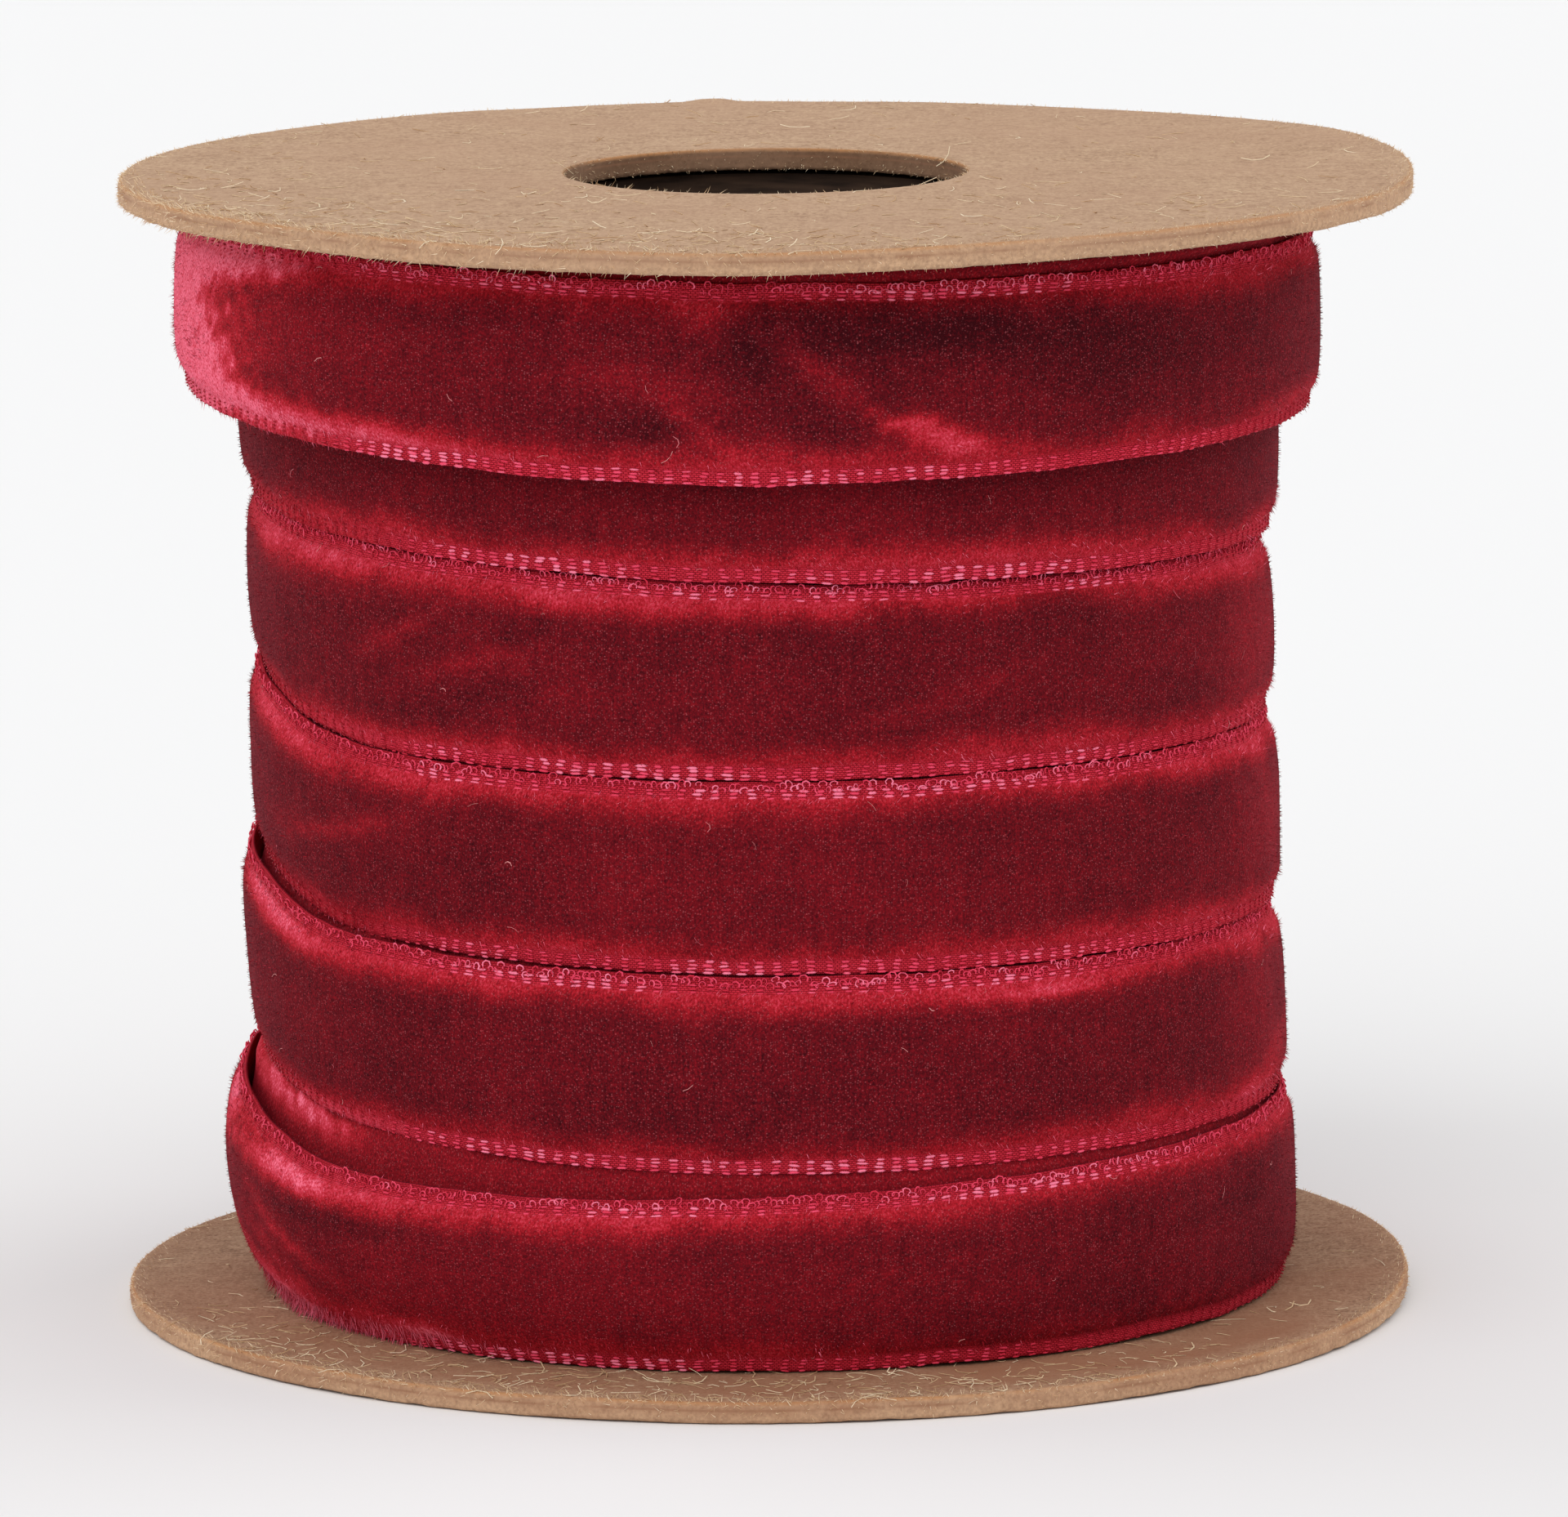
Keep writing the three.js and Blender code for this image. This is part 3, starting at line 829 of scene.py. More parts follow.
# the layers underneath, wound on the core, which show where the lowest turn gapes
under = {
    "below": 1.03,          # mm under the outermost layer
    "gapeBelow": 0.5,       # and in the gape, under the edge of the turn above
    "gape": (-60, -35, 110, 175),       # degrees from the lowest turn's left
    "bore": 12.8,
    "stepsRound": 200,
    "rise": 0.65,           # mm from one ring of points to the next
    # the layers beneath lighter than the strip: painted light against the dark between the turns
    "glow": 0.36,
    "gapeGlow": 0.38,
    "patch": (0.52, 22, 15),            # painted sheen of pale crushed pile in the gape: glow, place and half length
    "corner": (0.3, -20, -6, -2, 14),   # painted light where the gape begins, against its dark
}


def turnAt(degrees, level):
    # the turn that lies at this height, with its upper and lower edge
    starts = degrees + 360 * np.arange(-1, 6)
    seams = seamHeight(np.maximum(starts, roll["cutFinish"])) + np.where(starts < roll["cutFinish"], 99, 0)
    at = starts[max(int(np.sum(seams >= level)) - 1, 0)]
    upper, lower = ribbonHeights(np.array([at + 360, at]))
    if at < 300 and level < upper[0] + 0.4:
        return at + 360, upper[0], lower[0]
    return at, upper[1], lower[1]


def gapeUnder(u, at, across, level, radius):
    # how the layer beneath comes out in the gape, and the painted sheen and light of its pile there
    lowest = at - roll["lowestTurn"] * 360
    if not (u["gape"][0] < lowest < u["gape"][3] and across < 0.3):
        return radius, u["glow"]
    deep = u["gapeBelow"] * (0.2 + 0.8 * float(smoothstep(lowest, 0, 22)))
    free = float(lowerRadius(at - 360)) - deep
    radius += (free - radius) * float(hump(lowest, *u["gape"])) * (1 - across / 0.3)
    light, place, long = u["patch"]
    below = float(seamHeight(at)) - level
    patch = math.exp(-((lowest - place) / long) ** 4) * float(1 - smoothstep(below, 0.6, 1.9))
    patch *= 0.85 + 0.4 * float(wave(57, alongMm(lowest), level, 1.5, 3))
    return radius, u["gapeGlow"] + light * patch + u["corner"][0] * float(hump(lowest, *u["corner"][1:]))


def windingUnder(u):
    board, height = roll["board"], roll["height"]
    levels = np.arange(board + 0.35, height - board - 0.3, u["rise"])
    turned = np.arange(u["stepsRound"]) * 360 / u["stepsRound"]
    angle = np.radians(turned) + math.pi
    radius = np.zeros((len(turned), len(levels)))
    glow = np.zeros_like(radius)
    for i, degrees in enumerate(turned):
        for j, level in enumerate(levels):
            at, upper, lower = turnAt(degrees, level)
            across = float(np.clip((upper - level) / (upper - lower), 0, 1))
            outside = float(ribbonRadius(at, across)) - u["below"]
            radius[i, j], glow[i, j] = gapeUnder(u, at, across, level, outside)
    smooth = radius.copy()
    smooth[:, 1:-1] = (radius[:, :-2] + 2 * radius[:, 1:-1] + radius[:, 2:]) / 4
    smooth = np.minimum(smooth, radius + 0.15)
    # two more columns of points close the ring round the bore
    ringHeights = np.concatenate([levels, levels[-1:], levels[:1]])
    z = np.repeat(ringHeights[None, :], len(turned), 0)
    r = np.concatenate([smooth, np.full((len(turned), 2), u["bore"])], 1)
    grid = np.stack([r * np.cos(angle)[:, None], r * np.sin(angle)[:, None], z], -1)
    columns = grid.shape[1]
    faces = [f[::-1] for f in gridFaces(len(turned), columns, True, True)]
    piece = meshPiece("ribbonUnder", grid.reshape(-1, 3) * mm, faces, velvetPile)
    spread = np.concatenate([glow, np.zeros((len(turned), 2))], 1)
    for label, values in (("glow", spread), ("bare", spread * 0), ("underLoopShade", spread * 0)):
        setValues(piece.data, label, "FLOAT", values)
    along = alongMm(turned) / ribbon["width"]
    setRibbonUv(piece.data, np.repeat(along[:, None], columns, 1), z / ribbon["width"])
    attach(piece, "root")
    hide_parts("ribbon")
    return piece


ribbonUnder = windingUnder(under)
print("layers underneath made")


# what grows on a surface or along an edge: a tree of nodes, run once and kept as a plain mesh
def growTree(name, sizes, counts=()):
    tree = bpy.data.node_groups.new(name, "GeometryNodeTree")
    sockets = [("Geometry", "Geometry")] + [(label, "Float") for label in sizes]
    sockets += [(label, "Int") for label in counts] + [("Seed", "Int"), ("Material", "Material")]
    for label, kind in sockets:
        tree.interface.new_socket(name=label, in_out="INPUT", socket_type="NodeSocket" + kind)
    tree.interface.new_socket(name="Geometry", in_out="OUTPUT", socket_type="NodeSocketGeometry")
    return tree, add(tree, "NodeGroupInput").outputs


def named(tree, attribute, kind="FLOAT"):
    node = add(tree, "GeometryNodeInputNamedAttribute", {"Name": attribute}, data_type=kind)
    return node.outputs["Attribute"]


def wayOf(tree, attribute):
    return named(tree, attribute, "FLOAT_VECTOR")


def vectorMath(tree, operation, a, b):
    second = "Scale" if operation == "SCALE" else 1
    return add(tree, "ShaderNodeVectorMath", {0: a, second: b}, operation=operation).outputs["Vector"]


def scaled(tree, vector, by):
    return vectorMath(tree, "SCALE", vector, by)


def joined(tree, a, b):
    return vectorMath(tree, "ADD", a, b)


def randomIn(tree, low, high, seed, number):
    vector = isinstance(low, tuple)
    first = 0 if vector else 2
    inputs = {first: low, first + 1: high, "Seed": plus(tree, seed, number)}
    kind = "FLOAT_VECTOR" if vector else "FLOAT"
    return add(tree, "FunctionNodeRandomValue", inputs, data_type=kind).outputs[0 if vector else 1]


def anyWay(tree, reach, seed, number):
    return randomIn(tree, (-reach, -reach, -reach), (reach, reach, reach), seed, number)


def pointing(tree, axis, vector, turn=None, pivot="AUTO"):
    inputs = {"Vector": vector} if turn is None else {"Rotation": turn, "Vector": vector}
    node = add(tree, "FunctionNodeAlignRotationToVector", inputs, axis=axis, pivot_axis=pivot)
    return node.outputs["Rotation"]


def spacedAlong(tree, size):
    curve = add(tree, "GeometryNodeMeshToCurve", {"Mesh": size["Geometry"]})
    inputs = {"Curve": curve.outputs["Curve"], "Length": size["Spacing"]}
    return add(tree, "GeometryNodeResampleCurve", inputs, mode="LENGTH").outputs["Curve"]


def scattered(tree, size):
    density = times(tree, size["Density"], named(tree, "cover"))
    inputs = {"Mesh": size["Geometry"], "Density": density, "Seed": size["Seed"]}
    return add(tree, "GeometryNodeDistributePointsOnFaces", inputs, distribute_method="RANDOM").outputs


def moved(tree, geometry, shift):
    return add(tree, "GeometryNodeSetPosition", {"Geometry": geometry, "Offset": shift}).outputs["Geometry"]


def sizeOf(tree, x, y, z):
    return add(tree, "ShaderNodeCombineXYZ", {0: x, 1: y, 2: z}).outputs[0]


def randomSize(tree, radius, ranges, seed):
    factors = [randomIn(tree, low, high, seed, 5 + axis) for axis, (low, high) in enumerate(ranges)]
    return sizeOf(tree, *[times(tree, radius, factor) for factor in factors])


def bentYarn(tree, l, radius, yarnRadius):
    # yarn bent round a circle of radius 1, to be sized where it is placed
    arc = add(tree, "GeometryNodeCurveArc", {
        "Resolution": l["bends"],
        "Radius": 1,
        "Start Angle": math.radians(l["startAngle"]),
        "Sweep Angle": math.radians(l["sweepAngle"]),
    })
    thinness = mathNode(tree, "DIVIDE", yarnRadius, radius)
    section = add(tree, "GeometryNodeCurvePrimitiveCircle", {"Resolution": l["sides"], "Radius": thinness})
    inputs = {"Curve": arc.outputs["Curve"], "Profile Curve": section.outputs["Curve"], "Fill Caps": True}
    return add(tree, "GeometryNodeCurveToMesh", inputs).outputs["Mesh"]


def placeEach(tree, points, shape, turn, size, shade, material):
    # puts a shape on every point, each with a shade of its own, and makes them real
    each = add(tree, "GeometryNodeInstanceOnPoints",
               {"Points": points, "Instance": shape, "Rotation": turn, "Scale": size})
    store = add(tree, "GeometryNodeStoreNamedAttribute",
                {"Geometry": each.outputs["Instances"], "Name": "shade", "Value": shade},
                data_type="FLOAT", domain="INSTANCE")
    real = add(tree, "GeometryNodeRealizeInstances", {"Geometry": store.outputs["Geometry"]})
    painted = add(tree, "GeometryNodeSetMaterial",
                  {"Geometry": real.outputs["Geometry"], "Material": material})
    add(tree, "NodeGroupOutput", {"Geometry": painted.outputs["Geometry"]})


def grow(name, ground, tree, values, smooth=True):
    modifier = ground.modifiers.new(name, "NODES")
    modifier.node_group = tree
    for item in tree.interface.items_tree:
        if item.in_out == "INPUT" and item.name in values:
            modifier[item.identifier] = values[item.name]
    bpy.context.view_layer.update()
    made = ground.evaluated_get(bpy.context.evaluated_depsgraph_get())
    mesh = bpy.data.meshes.new_from_object(made)
    mesh.name = name
    mesh.polygons.foreach_set("use_smooth", [smooth] * len(mesh.polygons))
    piece = newObject(name, mesh)
    bpy.data.objects.remove(ground)
    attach(piece, "root")
    print(name, len(mesh.polygons), "faces")
    return piece


def unit(v):
    return v / np.maximum(np.linalg.norm(v, axis=-1, keepdims=True), 1e-12)


def outwards(out, points):
    # turned round where it points into the roll
    return np.where(np.sum(out * points * [1, 1, 0], -1, keepdims=True) < 0, -out, out)


# where the woven edges show, by degrees from the left side
edges = {
    "upper": (-64, 1995),   # degrees along the strip
    "lower": (-60, 2040),
    # painted light, in degrees: where the floats and loops are painted paler and bolder, and where it rises
    # again behind
    "lit": (32, 55, 118, 160),
    "litBehind": (200, 250),
    "footFades": (1880, 1945),
    "inset": 0.02,          # mm inside the edge, where the line of points runs
    "lift": 0.02,
}


def edgeGuide(name, fromTop):
    # a line of points just inside one edge of the strip, with the ways along, across and out of it
    start, stop = edges["upper" if fromTop else "lower"]
    at = np.arange(start, stop, ribbon["step"])
    width = ribbonWidth(at)
    nearShare, farShare = edges["inset"] / width, 0.7 / width
    if not fromTop:
        nearShare, farShare = 1 - nearShare, 1 - farShare
    near = ribbonPoint(at, nearShare, np.full(len(at), float(fallOf(0.2)) + edges["lift"]))
    far = ribbonPoint(at, farShare, np.full(len(at), float(fallOf(0.7)) + edges["lift"]))
    along = unit(np.gradient(near, axis=0))
    inward = unit(far - near)
    out = outwards(unit(np.cross(inward, along)), near)
    turned = at % 360
    # how bold the woven edge's stacks are, with painted light: paler and bigger where lit
    lit = hump(turned, *edges["lit"]) + 0.6 * smoothstep(turned, *edges["litBehind"])
    boldAndLit = 0.2 + 0.8 * lit * (0.75 + 0.4 * wave(55, alongMm(at), 4 if fromTop else 0, 15, 3))
    boldAndLit = boldAndLit * bareAt(at, fromTop)
    if not fromTop:
        boldAndLit = boldAndLit * (1 - 0.85 * smoothstep(at, *edges["footFades"]))
    keep = np.ones(len(at), bool)
    if fromTop:
        keep = (at < roll["hidden"][0]) | (at > roll["hidden"][1])
    number = np.cumsum(keep) - 1
    lines = [(int(number[i]), int(number[i + 1])) for i in range(len(at) - 1) if keep[i] and keep[i + 1]]
    mesh = bpy.data.meshes.new(name)
    mesh.from_pydata([tuple(p) for p in near[keep] * mm], lines, [])
    for label, values in (("along", along), ("inward", inward), ("out", out)):
        setValues(mesh, label, "FLOAT_VECTOR", values[keep])
    setValues(mesh, "boldAndLit", "FLOAT", np.clip(boldAndLit, 0.02, 1)[keep])
    return newObject(name, mesh)


# pink floats of yarn on the woven edges, in short stacks
floats = {
    "spacing": 0.83,        # mm from one stack to the next
    "rowPitch": 0.185,
    "length": 0.54,
    "thickness": 0.15,
    "upperFirst": 0.40, "upperRows": 3,
    "lowerFirst": 0.07, "lowerRows": 4,
    "lengths": (0.75, 1.2),
    "thicknesses": (0.8, 1.2),
    "shades": (0.55, 1.25),
    # colours by shade, to a pale pink where painted light falls on the floats
    "colour": [(0.0, paint(160, 24, 38)), (0.35, paint(210, 44, 68)), (0.75, paint(240, 76, 108)),
               (1.0, paint(254, 134, 164))],
}


def yarnMaterial(name, stops):
    mat, tree, shader = nodeMaterial(name)
    ply = times(tree, minus(tree, noiseAt(tree, objectPlace(tree), 9000, 1), 0.5), 0.25)
    colour = ramp(tree, plus(tree, valueOf(tree, "shade"), ply), stops)
    setInputs(tree, shader, {"Base Color": colour, "Roughness": 0.5, "Specular IOR Level": 0.12})
    return mat


yarn = yarnMaterial("selvedgeYarn", floats["colour"])


def floatTree(f):
    sizes = ["Spacing", "Row Pitch", "First Row", "Float Length", "Thickness"]
    tree, size = growTree("selvedgeFloats", sizes, ["Rows"])
    seed = size["Seed"]
    inputs = {"Geometry": spacedAlong(tree, size), "Amount": size["Rows"]}
    stack = add(tree, "GeometryNodeDuplicateElements", inputs, domain="POINT")
    step = plus(tree, stack.outputs["Duplicate Index"], randomIn(tree, -0.14, 0.14, seed, 1))
    inwards = plus(tree, size["First Row"], times(tree, step, size["Row Pitch"]))
    side = times(tree, randomIn(tree, -0.12, 0.12, seed, 2), size["Spacing"])
    shift = joined(tree, scaled(tree, wayOf(tree, "inward"), inwards),
                   scaled(tree, wayOf(tree, "along"), side))
    points = moved(tree, stack.outputs["Geometry"], shift)
    grain = add(tree, "GeometryNodeMeshUVSphere", {"Segments": 4, "Rings": 3, "Radius": 0.5})
    tilt = joined(tree, wayOf(tree, "along"), anyWay(tree, 0.1, seed, 3))
    turn = pointing(tree, "X", wayOf(tree, "out"), pointing(tree, "Z", tilt), "Z")
    boldAndLit = named(tree, "boldAndLit")
    long = times(tree, size["Float Length"], randomIn(tree, *f["lengths"], seed, 4))
    thick = times(tree, size["Thickness"], randomIn(tree, *f["thicknesses"], seed, 5))
    shape = sizeOf(tree, times(tree, size["Thickness"], 0.8),
                   times(tree, thick, plus(tree, times(tree, boldAndLit, 0.6), 0.5)),
                   times(tree, long, plus(tree, times(tree, boldAndLit, 0.45), 0.6)))
    # painted light: the floats paler where lit
    shade = times(tree, randomIn(tree, *f["shades"], seed, 6), boldAndLit)
    placeEach(tree, points, grain.outputs["Mesh"], turn, shape, shade, size["Material"])
    return tree


floatNodes = floatTree(floats)
floatSizes = {"Spacing": floats["spacing"] * mm, "Row Pitch": floats["rowPitch"] * mm,
              "Float Length": floats["length"] * mm, "Thickness": floats["thickness"] * mm,
              "Material": yarn}
upperRows = {"Rows": floats["upperRows"], "First Row": floats["upperFirst"] * mm, "Seed": 11}
lowerRows = {"Rows": floats["lowerRows"], "First Row": floats["lowerFirst"] * mm, "Seed": 12}
upperFloats = grow("upperFloats", edgeGuide("upperGuide", True), floatNodes, {**floatSizes, **upperRows})
lowerFloats = grow("lowerFloats", edgeGuide("lowerGuide", False), floatNodes, {**floatSizes, **lowerRows})

# small loops of weft yarn that turn round the upper edge
loops = {
    "spacing": 0.27,        # mm
    "width": 0.18,
    "yarn": 0.042,
    "sides": 3,
    "bends": 6,
    "startAngle": -45,      # degrees
    "sweepAngle": 270,
    "sizes": [(0.6, 1.35), (0.6, 1.1), (0.9, 1.1)],
    "shades": (0.4, 1.1),
}


def loopTree(l):
    tree, size = growTree("edgeLoops", ["Spacing", "Loop Radius", "Yarn Radius"])
    seed, radius = size["Seed"], size["Loop Radius"]
    loop = bentYarn(tree, l, radius, size["Yarn Radius"])
    # the loop's top turns away from the strip, and its face looks out
    away = joined(tree, scaled(tree, wayOf(tree, "inward"), -1.0), anyWay(tree, 0.45, seed, 1))
    face = joined(tree, wayOf(tree, "out"), anyWay(tree, 0.5, seed, 2))
    turn = pointing(tree, "Z", face, pointing(tree, "Y", away), "Y")
    shift = scaled(tree, wayOf(tree, "inward"), times(tree, radius, randomIn(tree, 0.2, 2.4, seed, 3)))
    lift = scaled(tree, wayOf(tree, "out"), times(tree, radius, randomIn(tree, 0.1, 0.5, seed, 4)))
    points = moved(tree, spacedAlong(tree, size), joined(tree, shift, lift))
    # painted light: the loops paler where lit
    loopLight = plus(tree, times(tree, named(tree, "boldAndLit"), 0.4), 0.6)
    shade = times(tree, randomIn(tree, *l["shades"], seed, 9), loopLight)
    placeEach(tree, points, loop, turn, randomSize(tree, radius, l["sizes"], seed), shade, size["Material"])
    return tree


edgeLoops = grow("edgeLoops", edgeGuide("loopGuide", True), loopTree(loops),
                 {"Spacing": loops["spacing"] * mm, "Loop Radius": loops["width"] * mm,
                  "Yarn Radius": loops["yarn"] * mm, "Seed": 21, "Material": yarn})
print("woven edges made")

# the pile: fine tapered fibres, short where it stands, longer where it is crushed or leans over an edge
pile = {
    "perSquareMm": 29,      # at full cover
    "thickness": 0.06,      # mm at the root
    "length": 0.22,
    "edgeLength": 0.42,
    "crushedLength": 0.52,
    "fringeLength": 0.4,    # added to it
    "sink": 0.1,            # mm below the surface where a fibre starts
    "jitter": 0.34,
    "ownShare": 0.9,        # how much of a fibre's own roundness its shading shows
    "thicknesses": (0.7, 1.2),
    "lengths": (0.6, 1.3),
    "parts": [(-67, 300), (300, 905), (905, 1500), (1500, 2140)],   # degrees, one piece each
    "columns": [0.1, 0.3, 0.55, 0.75, 0.95, 1.2, 1.6, 2.1, 2.8, 3.5],  # mm from an edge
    "lie": 0.05,            # mm under the CAD part's surface
    "fringe": (1832, 26),   # the lowest turn's foot spreads on the disc: middle and half length, degrees
    "standing": 0.28,       # share of full cover where the pile stands up
    "behind": (195, 215, 325, 350),     # degrees, thinner there
    "tailStarts": 1985,
}


def fibreMaterial(v, p):
    mat, tree, shader = nodeMaterial("velvetFibre")
    glow, shade = valueOf(tree, "glow"), valueOf(tree, "shade")
    patchy = noiseAt(tree, objectPlace(tree), 1500, 2)
    tone = plus(tree, glow, times(tree, minus(tree, shade, 0.4), 0.46))
    # painted glints: a few fibres much paler than the rest
    tone = plus(tree, tone, times(tree, mathNode(tree, "POWER", shade, 7), 0.3))
    tone = plus(tree, tone, times(tree, minus(tree, patchy, 0.5), 0.2))
    # lit mostly as the cloth under it is, so that the pile looks soft
    cloth = add(tree, "ShaderNodeAttribute", attribute_name="nap").outputs["Vector"]
    own = scaled(tree, add(tree, "ShaderNodeNewGeometry").outputs["Normal"], p["ownShare"])
    soft = add(tree, "ShaderNodeVectorMath", {0: joined(tree, cloth, own)}, operation="NORMALIZE")
    setInputs(tree, shader, {
        "Base Color": ramp(tree, tone, v["stops"]),
        "Roughness": 0.7,
        "Specular IOR Level": 0.04,
        "Normal": soft.outputs["Vector"],
        **sheenOf(v),
    })
    return mat


velvetFibre = fibreMaterial(velvet, pile)


def pileTree(p):
    tree, size = growTree("pileFibres", ["Density", "Thickness", "Sink", "Jitter"])
    seed, spread = size["Seed"], scattered(tree, size)
    kept = add(tree, "GeometryNodeStoreNamedAttribute",
               {"Geometry": spread["Points"], "Name": "nap", "Value": spread["Normal"]},
               data_type="FLOAT_VECTOR", domain="POINT")
    sunk = scaled(tree, spread["Normal"], times(tree, size["Sink"], -1))
    points = moved(tree, kept.outputs["Geometry"], sunk)
    cone = add(tree, "GeometryNodeMeshCone",
               {"Vertices": 3, "Side Segments": 1, "Radius Top": 0, "Radius Bottom": 0.5, "Depth": 1},
               fill_type="NGON")
    wander = scaled(tree, anyWay(tree, 1, seed, 1), size["Jitter"])
    turn = pointing(tree, "Z", joined(tree, wayOf(tree, "lean"), wander))
    thick = times(tree, size["Thickness"], randomIn(tree, *p["thicknesses"], seed, 2))
    long = times(tree, named(tree, "reach"), randomIn(tree, *p["lengths"], seed, 3))
    placeEach(tree, points, cone.outputs["Mesh"], turn, sizeOf(tree, thick, thick, long),
              randomIn(tree, 0.0, 1.0, seed, 4), size["Material"])
    return tree


def pileGround(name, start, stop):
    # the strip's outside between its woven edges, with how the pile stands on it
    at = np.arange(start, stop + 0.1, ribbon["step"])
    width = ribbonWidth(at)[:, None]
    near = np.array(pile["columns"])[None, :] / width
    across = np.concatenate([near, np.full((len(at), 1), 0.5), 1 - near[:, ::-1]], 1)
    edge = np.minimum(across, 1 - across) * width
    points = ribbonPoint(at[:, None], across, fallOf(edge) + pile["lie"])
    along = unit(np.gradient(points, axis=0))
    down = unit(np.gradient(points, axis=1))
    out = outwards(unit(np.cross(along, down)), points)
    depth = across * width
    grid = np.repeat(at[:, None], across.shape[1], 1)
    glow = pileGlow(grid, depth, np.repeat(width, across.shape[1], 1))
    atEdge = 1 - smoothstep(edge, 0.7, 2.1)
    lying = np.maximum(smoothstep(glow, 0.42, 0.72), 0.75 * atEdge)
    wayOut = np.where(across < 0.5, -1.0, 1.0) * atEdge
    drift = wave(51, alongMm(grid), depth, 6, 3)
    middle, half = pile["fringe"]
    fringe = np.exp(-((grid - middle) / half) ** 4) * (1 - smoothstep(edge, 0.5, 1.6)) * (across > 0.5)
    lean = out * (0.9 - 0.72 * lying + 0.6 * fringe)[..., None]
    lean = lean + down * (wayOut * 0.6 + 0.2 * drift)[..., None]
    lean = lean + along * (lying * (0.75 + 0.35 * drift))[..., None]
    hidden = (at > roll["hidden"][0]) & (at < roll["hidden"][1]) | (at > pile["tailStarts"])
    hidden = hidden[:, None] & (points[..., 2] > seamHeight(at)[:, None] + 0.4)
    cover = pile["standing"] + 0.5 * atEdge + 0.5 * smoothstep(glow, 0.45, 0.7)
    cover = cover * np.where(hidden, 0, 1)
    cover = cover * (1 - bareBoth(at, across < 0.5) * (1 - smoothstep(edge, 0.5, 0.85)))
    cover = cover * (1 - 0.35 * hump(at % 360, *pile["behind"]))[:, None]
    reach = pile["length"] + (pile["edgeLength"] - pile["length"]) * atEdge
    reach = reach + (pile["crushedLength"] - reach) * smoothstep(glow, 0.55, 0.9)
    reach = (reach + pile["fringeLength"] * fringe) * mm
    piece = meshPiece(name, points.reshape(-1, 3) * mm, gridFaces(len(at), across.shape[1]), velvetFibre)
    face = piece.data.polygons[len(piece.data.polygons) // 2]
    if face.normal.x * face.center.x + face.normal.y * face.center.y < 0:
        piece.data.flip_normals()
    setValues(piece.data, "lean", "FLOAT_VECTOR", unit(lean))
    for label, values in (("cover", cover), ("reach", reach), ("glow", glow)):
        setValues(piece.data, label, "FLOAT", values)
    return piece


pileNodes = pileTree(pile)
for number, (start, stop) in enumerate(pile["parts"]):
    pileSizes = {"Density": pile["perSquareMm"] * 1e6, "Thickness": pile["thickness"] * mm,
                 "Sink": pile["sink"] * mm, "Jitter": pile["jitter"], "Seed": 61 + number,
                 "Material": velvetFibre}
    grow("pile" + str(number + 1), pileGround("pileGround", start, stop), pileNodes,
                           pileSizes, False)
print("pile grown")

# lint on the boards, torn paper fibres along their cuts and a few stray fibres on the velvet
lint = {
    "colour": [(0.0, paint(196, 158, 118)), (0.5, paint(224, 196, 158)), (1.0, paint(248, 230, 200))],
    "strayColour": [(0.0, paint(196, 70, 88)), (1.0, paint(236, 160, 158))],
    "perSquareMm": 1.8,     # at full cover
    "radius": 0.72,         # mm, of the bend of a bit of lint
    "yarn": 0.02,
    "bends": 4,
    "sides": 3,
    "startAngle": -35,      # degrees
    "sweepAngle": 80,
    "middle": (-0.97, 0, 0.02),     # brings the middle of the bend to the point that it lies on
    "sizes": [(0.4, 2.6), (0.35, 1.9), (0.9, 1.1)],
    "tornPerSquareMm": 30,
    "torn": 0.2,            # mm long
    "tornThickness": 0.045,
    "tornSink": 0.03,
    "tornJitter": 0.8,
    "strayPerSquareMm": 0.045,
    "strayRadius": 0.34,
    "strayYarn": 0.013,
    "strays": (-67, 2060),  # degrees along the strip
    "upperWorn": 0.62,      # how far to the left the most worn part of each board's front is, as a sine
    "lowerWorn": 0.25,
}


def lintTree(l):
    tree, size = growTree("lint", ["Density", "Bend Radius", "Yarn Radius"])
    seed, radius, spread = size["Seed"], size["Bend Radius"], scattered(tree, size)
    bit = bentYarn(tree, l, radius, size["Yarn Radius"])
    bit = add(tree, "GeometryNodeTransform", {"Geometry": bit, "Translation": l["middle"]})
    face = joined(tree, spread["Normal"], anyWay(tree, 0.28, seed, 1))
    turn = pointing(tree, "Z", face, pointing(tree, "X", anyWay(tree, 1, seed, 2)))
    placeEach(tree, spread["Points"], bit.outputs["Geometry"], turn,
              randomSize(tree, radius, l["sizes"], seed), randomIn(tree, 0.0, 1.0, seed, 9),
              size["Material"])
    return tree


def pointValues(mesh, label):
    values = np.zeros(len(mesh.vertices), np.float32)
    mesh.attributes[label].data.foreach_get("value", values)
    return values


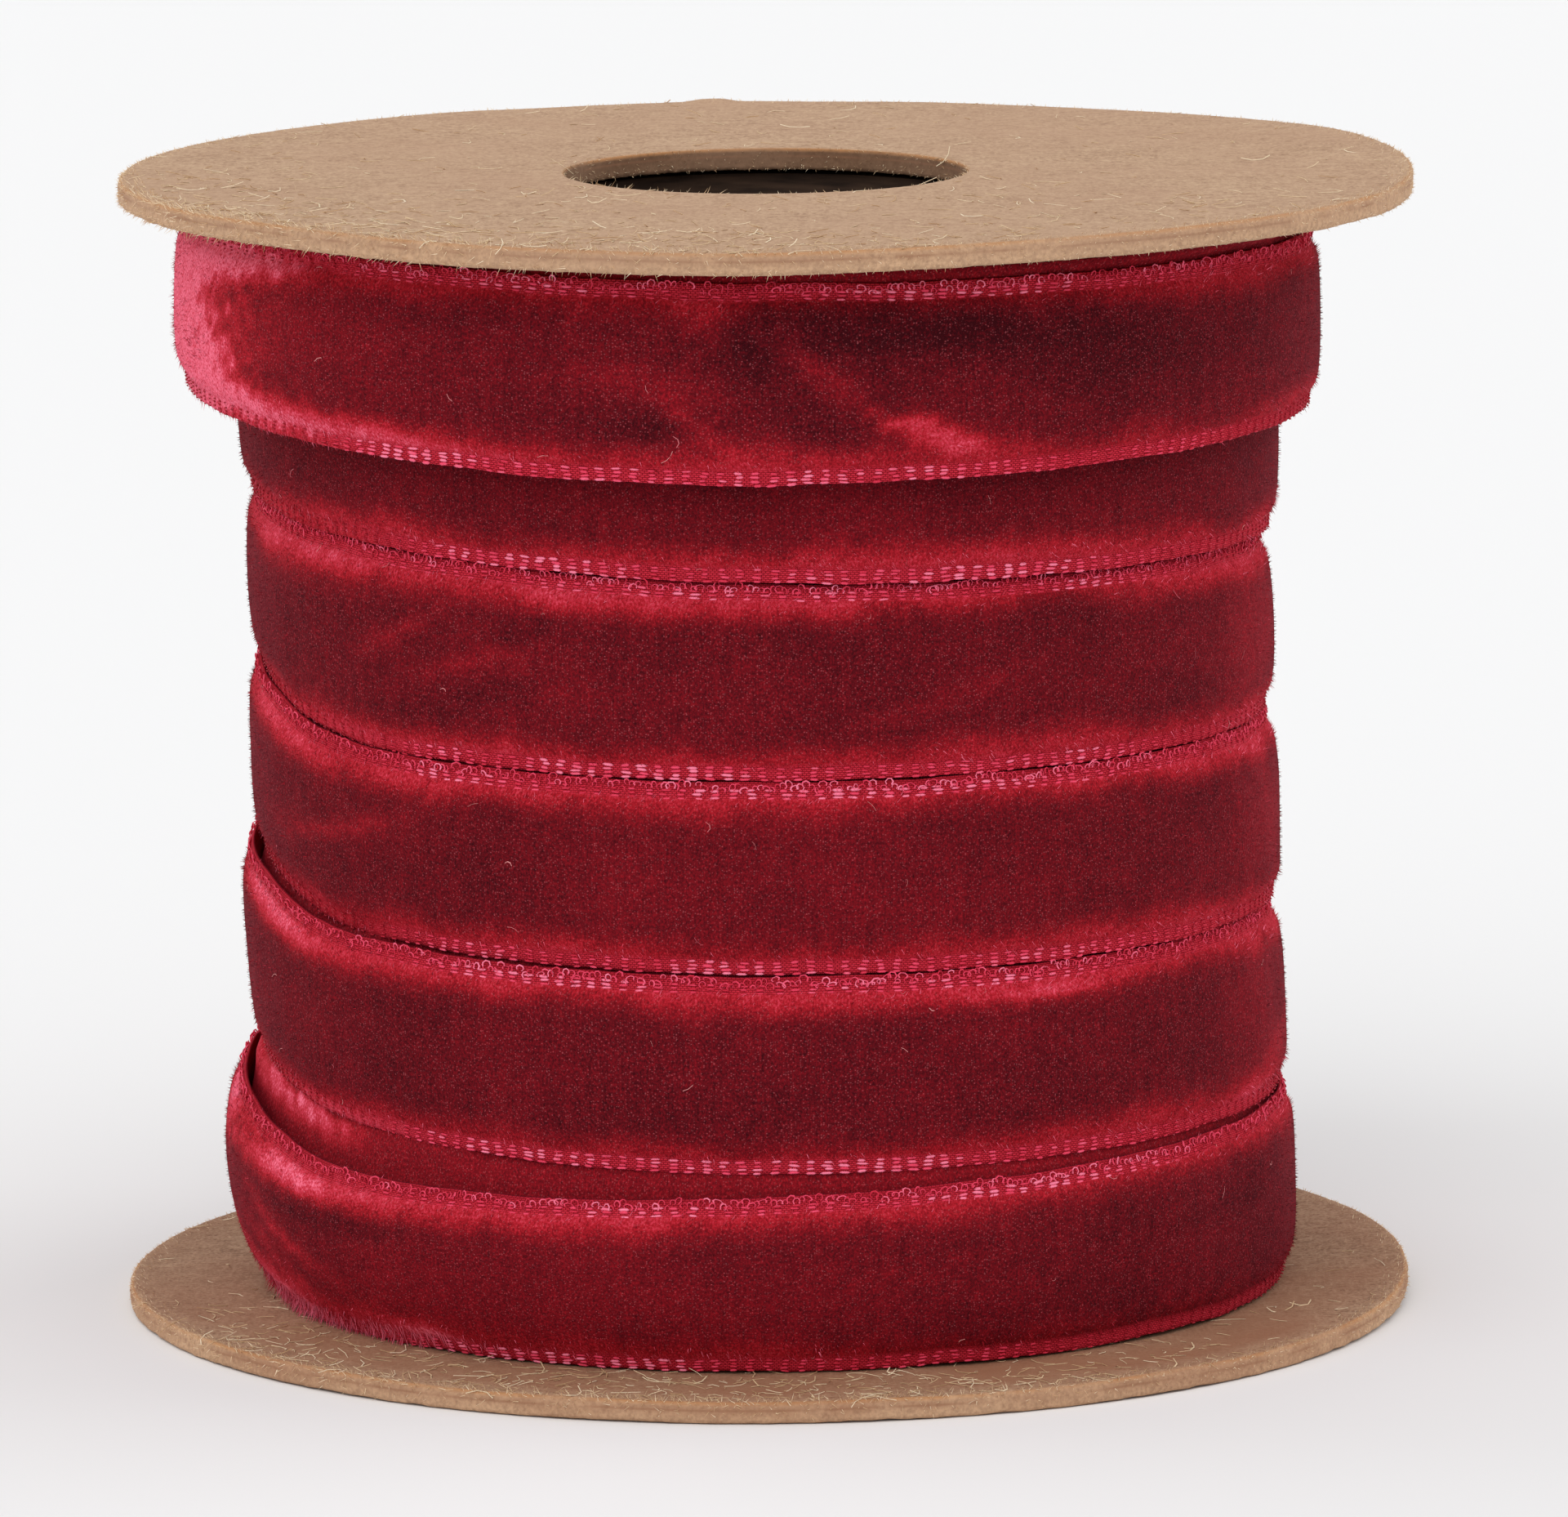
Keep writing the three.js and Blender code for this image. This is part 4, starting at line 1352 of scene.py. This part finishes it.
def boardGround(name, disc, shift, lying):
    # a copy of the board for things to grow on: lint on its upper face, or torn fibres along its cuts
    mesh = disc.data.copy()
    ground = newObject(name, mesh)
    place = np.zeros(len(mesh.vertices) * 3, np.float32)
    mesh.vertices.foreach_get("co", place)
    place = place.reshape(-1, 3) / mm - np.array([shift, 0, 0])
    cut, level = pointValues(mesh, "cut"), pointValues(mesh, "level")
    r = np.hypot(place[:, 0], place[:, 1])
    front = smoothstep(-place[:, 1] / r, 0.1, 0.8)
    left = lint["upperWorn"] if shift else lint["lowerWorn"]
    worn = (-left * place[:, 0] - math.sqrt(1 - left ** 2) * place[:, 1]) / r
    onFace = level > 0.99
    out = place * [1, 1, 0] / r[:, None] * np.where(r > 20, 1, -1)[:, None]
    if lying:
        rim = smoothstep(r, 22, 29)
        cover = 0.04 + 0.08 * front + 0.6 * rim * smoothstep(worn, 0.3, 0.9) + 0.12 * rim * front
        cover = onFace * (cover + 0.15 * smoothstep(-r, -12, -10))
        lean = out
    else:
        corner = np.maximum(smoothstep(level, 0.8, 0.95), 1 - smoothstep(level, 0.05, 0.25))
        cover = cut * (0.25 + 0.75 * corner) + onFace * smoothstep(r, 31.0, 31.7) * 0.6
        cover = cover * smoothstep(place[:, 2], 0.2, 0.45)
        rise = smoothstep(level, 0.6, 1) * 0.8 - 0.5 * (level < 0.2)
        lean = out + np.array([0, 0, 1]) * rise[:, None]
    setValues(mesh, "lean", "FLOAT_VECTOR", unit(lean))
    setValues(mesh, "cover", "FLOAT", cover)
    setValues(mesh, "reach", "FLOAT", lint["torn"] * mm * (1 + 1.2 * smoothstep(worn, 0.5, 1)))
    return ground


paperLint = yarnMaterial("paperLint", lint["colour"])
strayFibre = yarnMaterial("strayFibre", lint["strayColour"])
lintNodes = lintTree(lint)
lintSizes = {"Bend Radius": lint["radius"] * mm, "Yarn Radius": lint["yarn"] * mm,
             "Density": lint["perSquareMm"] * 1e6, "Material": paperLint}
tornSizes = {"Density": lint["tornPerSquareMm"] * 1e6, "Thickness": lint["tornThickness"] * mm,
             "Sink": lint["tornSink"] * mm, "Jitter": lint["tornJitter"], "Material": paperLint}
straySizes = {"Bend Radius": lint["strayRadius"] * mm, "Yarn Radius": lint["strayYarn"] * mm,
              "Density": lint["strayPerSquareMm"] * 1e6, "Seed": 85, "Material": strayFibre}
boards = [(upperDisc, roll["upperDiscShift"], "Upper"), (lowerDisc, 0, "Lower")]
for number, (disc, shift, label) in enumerate(boards):
    grow("boardLint" + label, boardGround("lintGround", disc, shift, True), lintNodes,
         {**lintSizes, "Seed": 81 + number})
    grow("tornFibres" + label, boardGround("tornGround", disc, shift, False), pileNodes,
         {**tornSizes, "Seed": 91 + number}, False)
strays = grow("strayFibres", pileGround("strayGround", *lint["strays"]), lintNodes, straySizes)
print("lint laid")
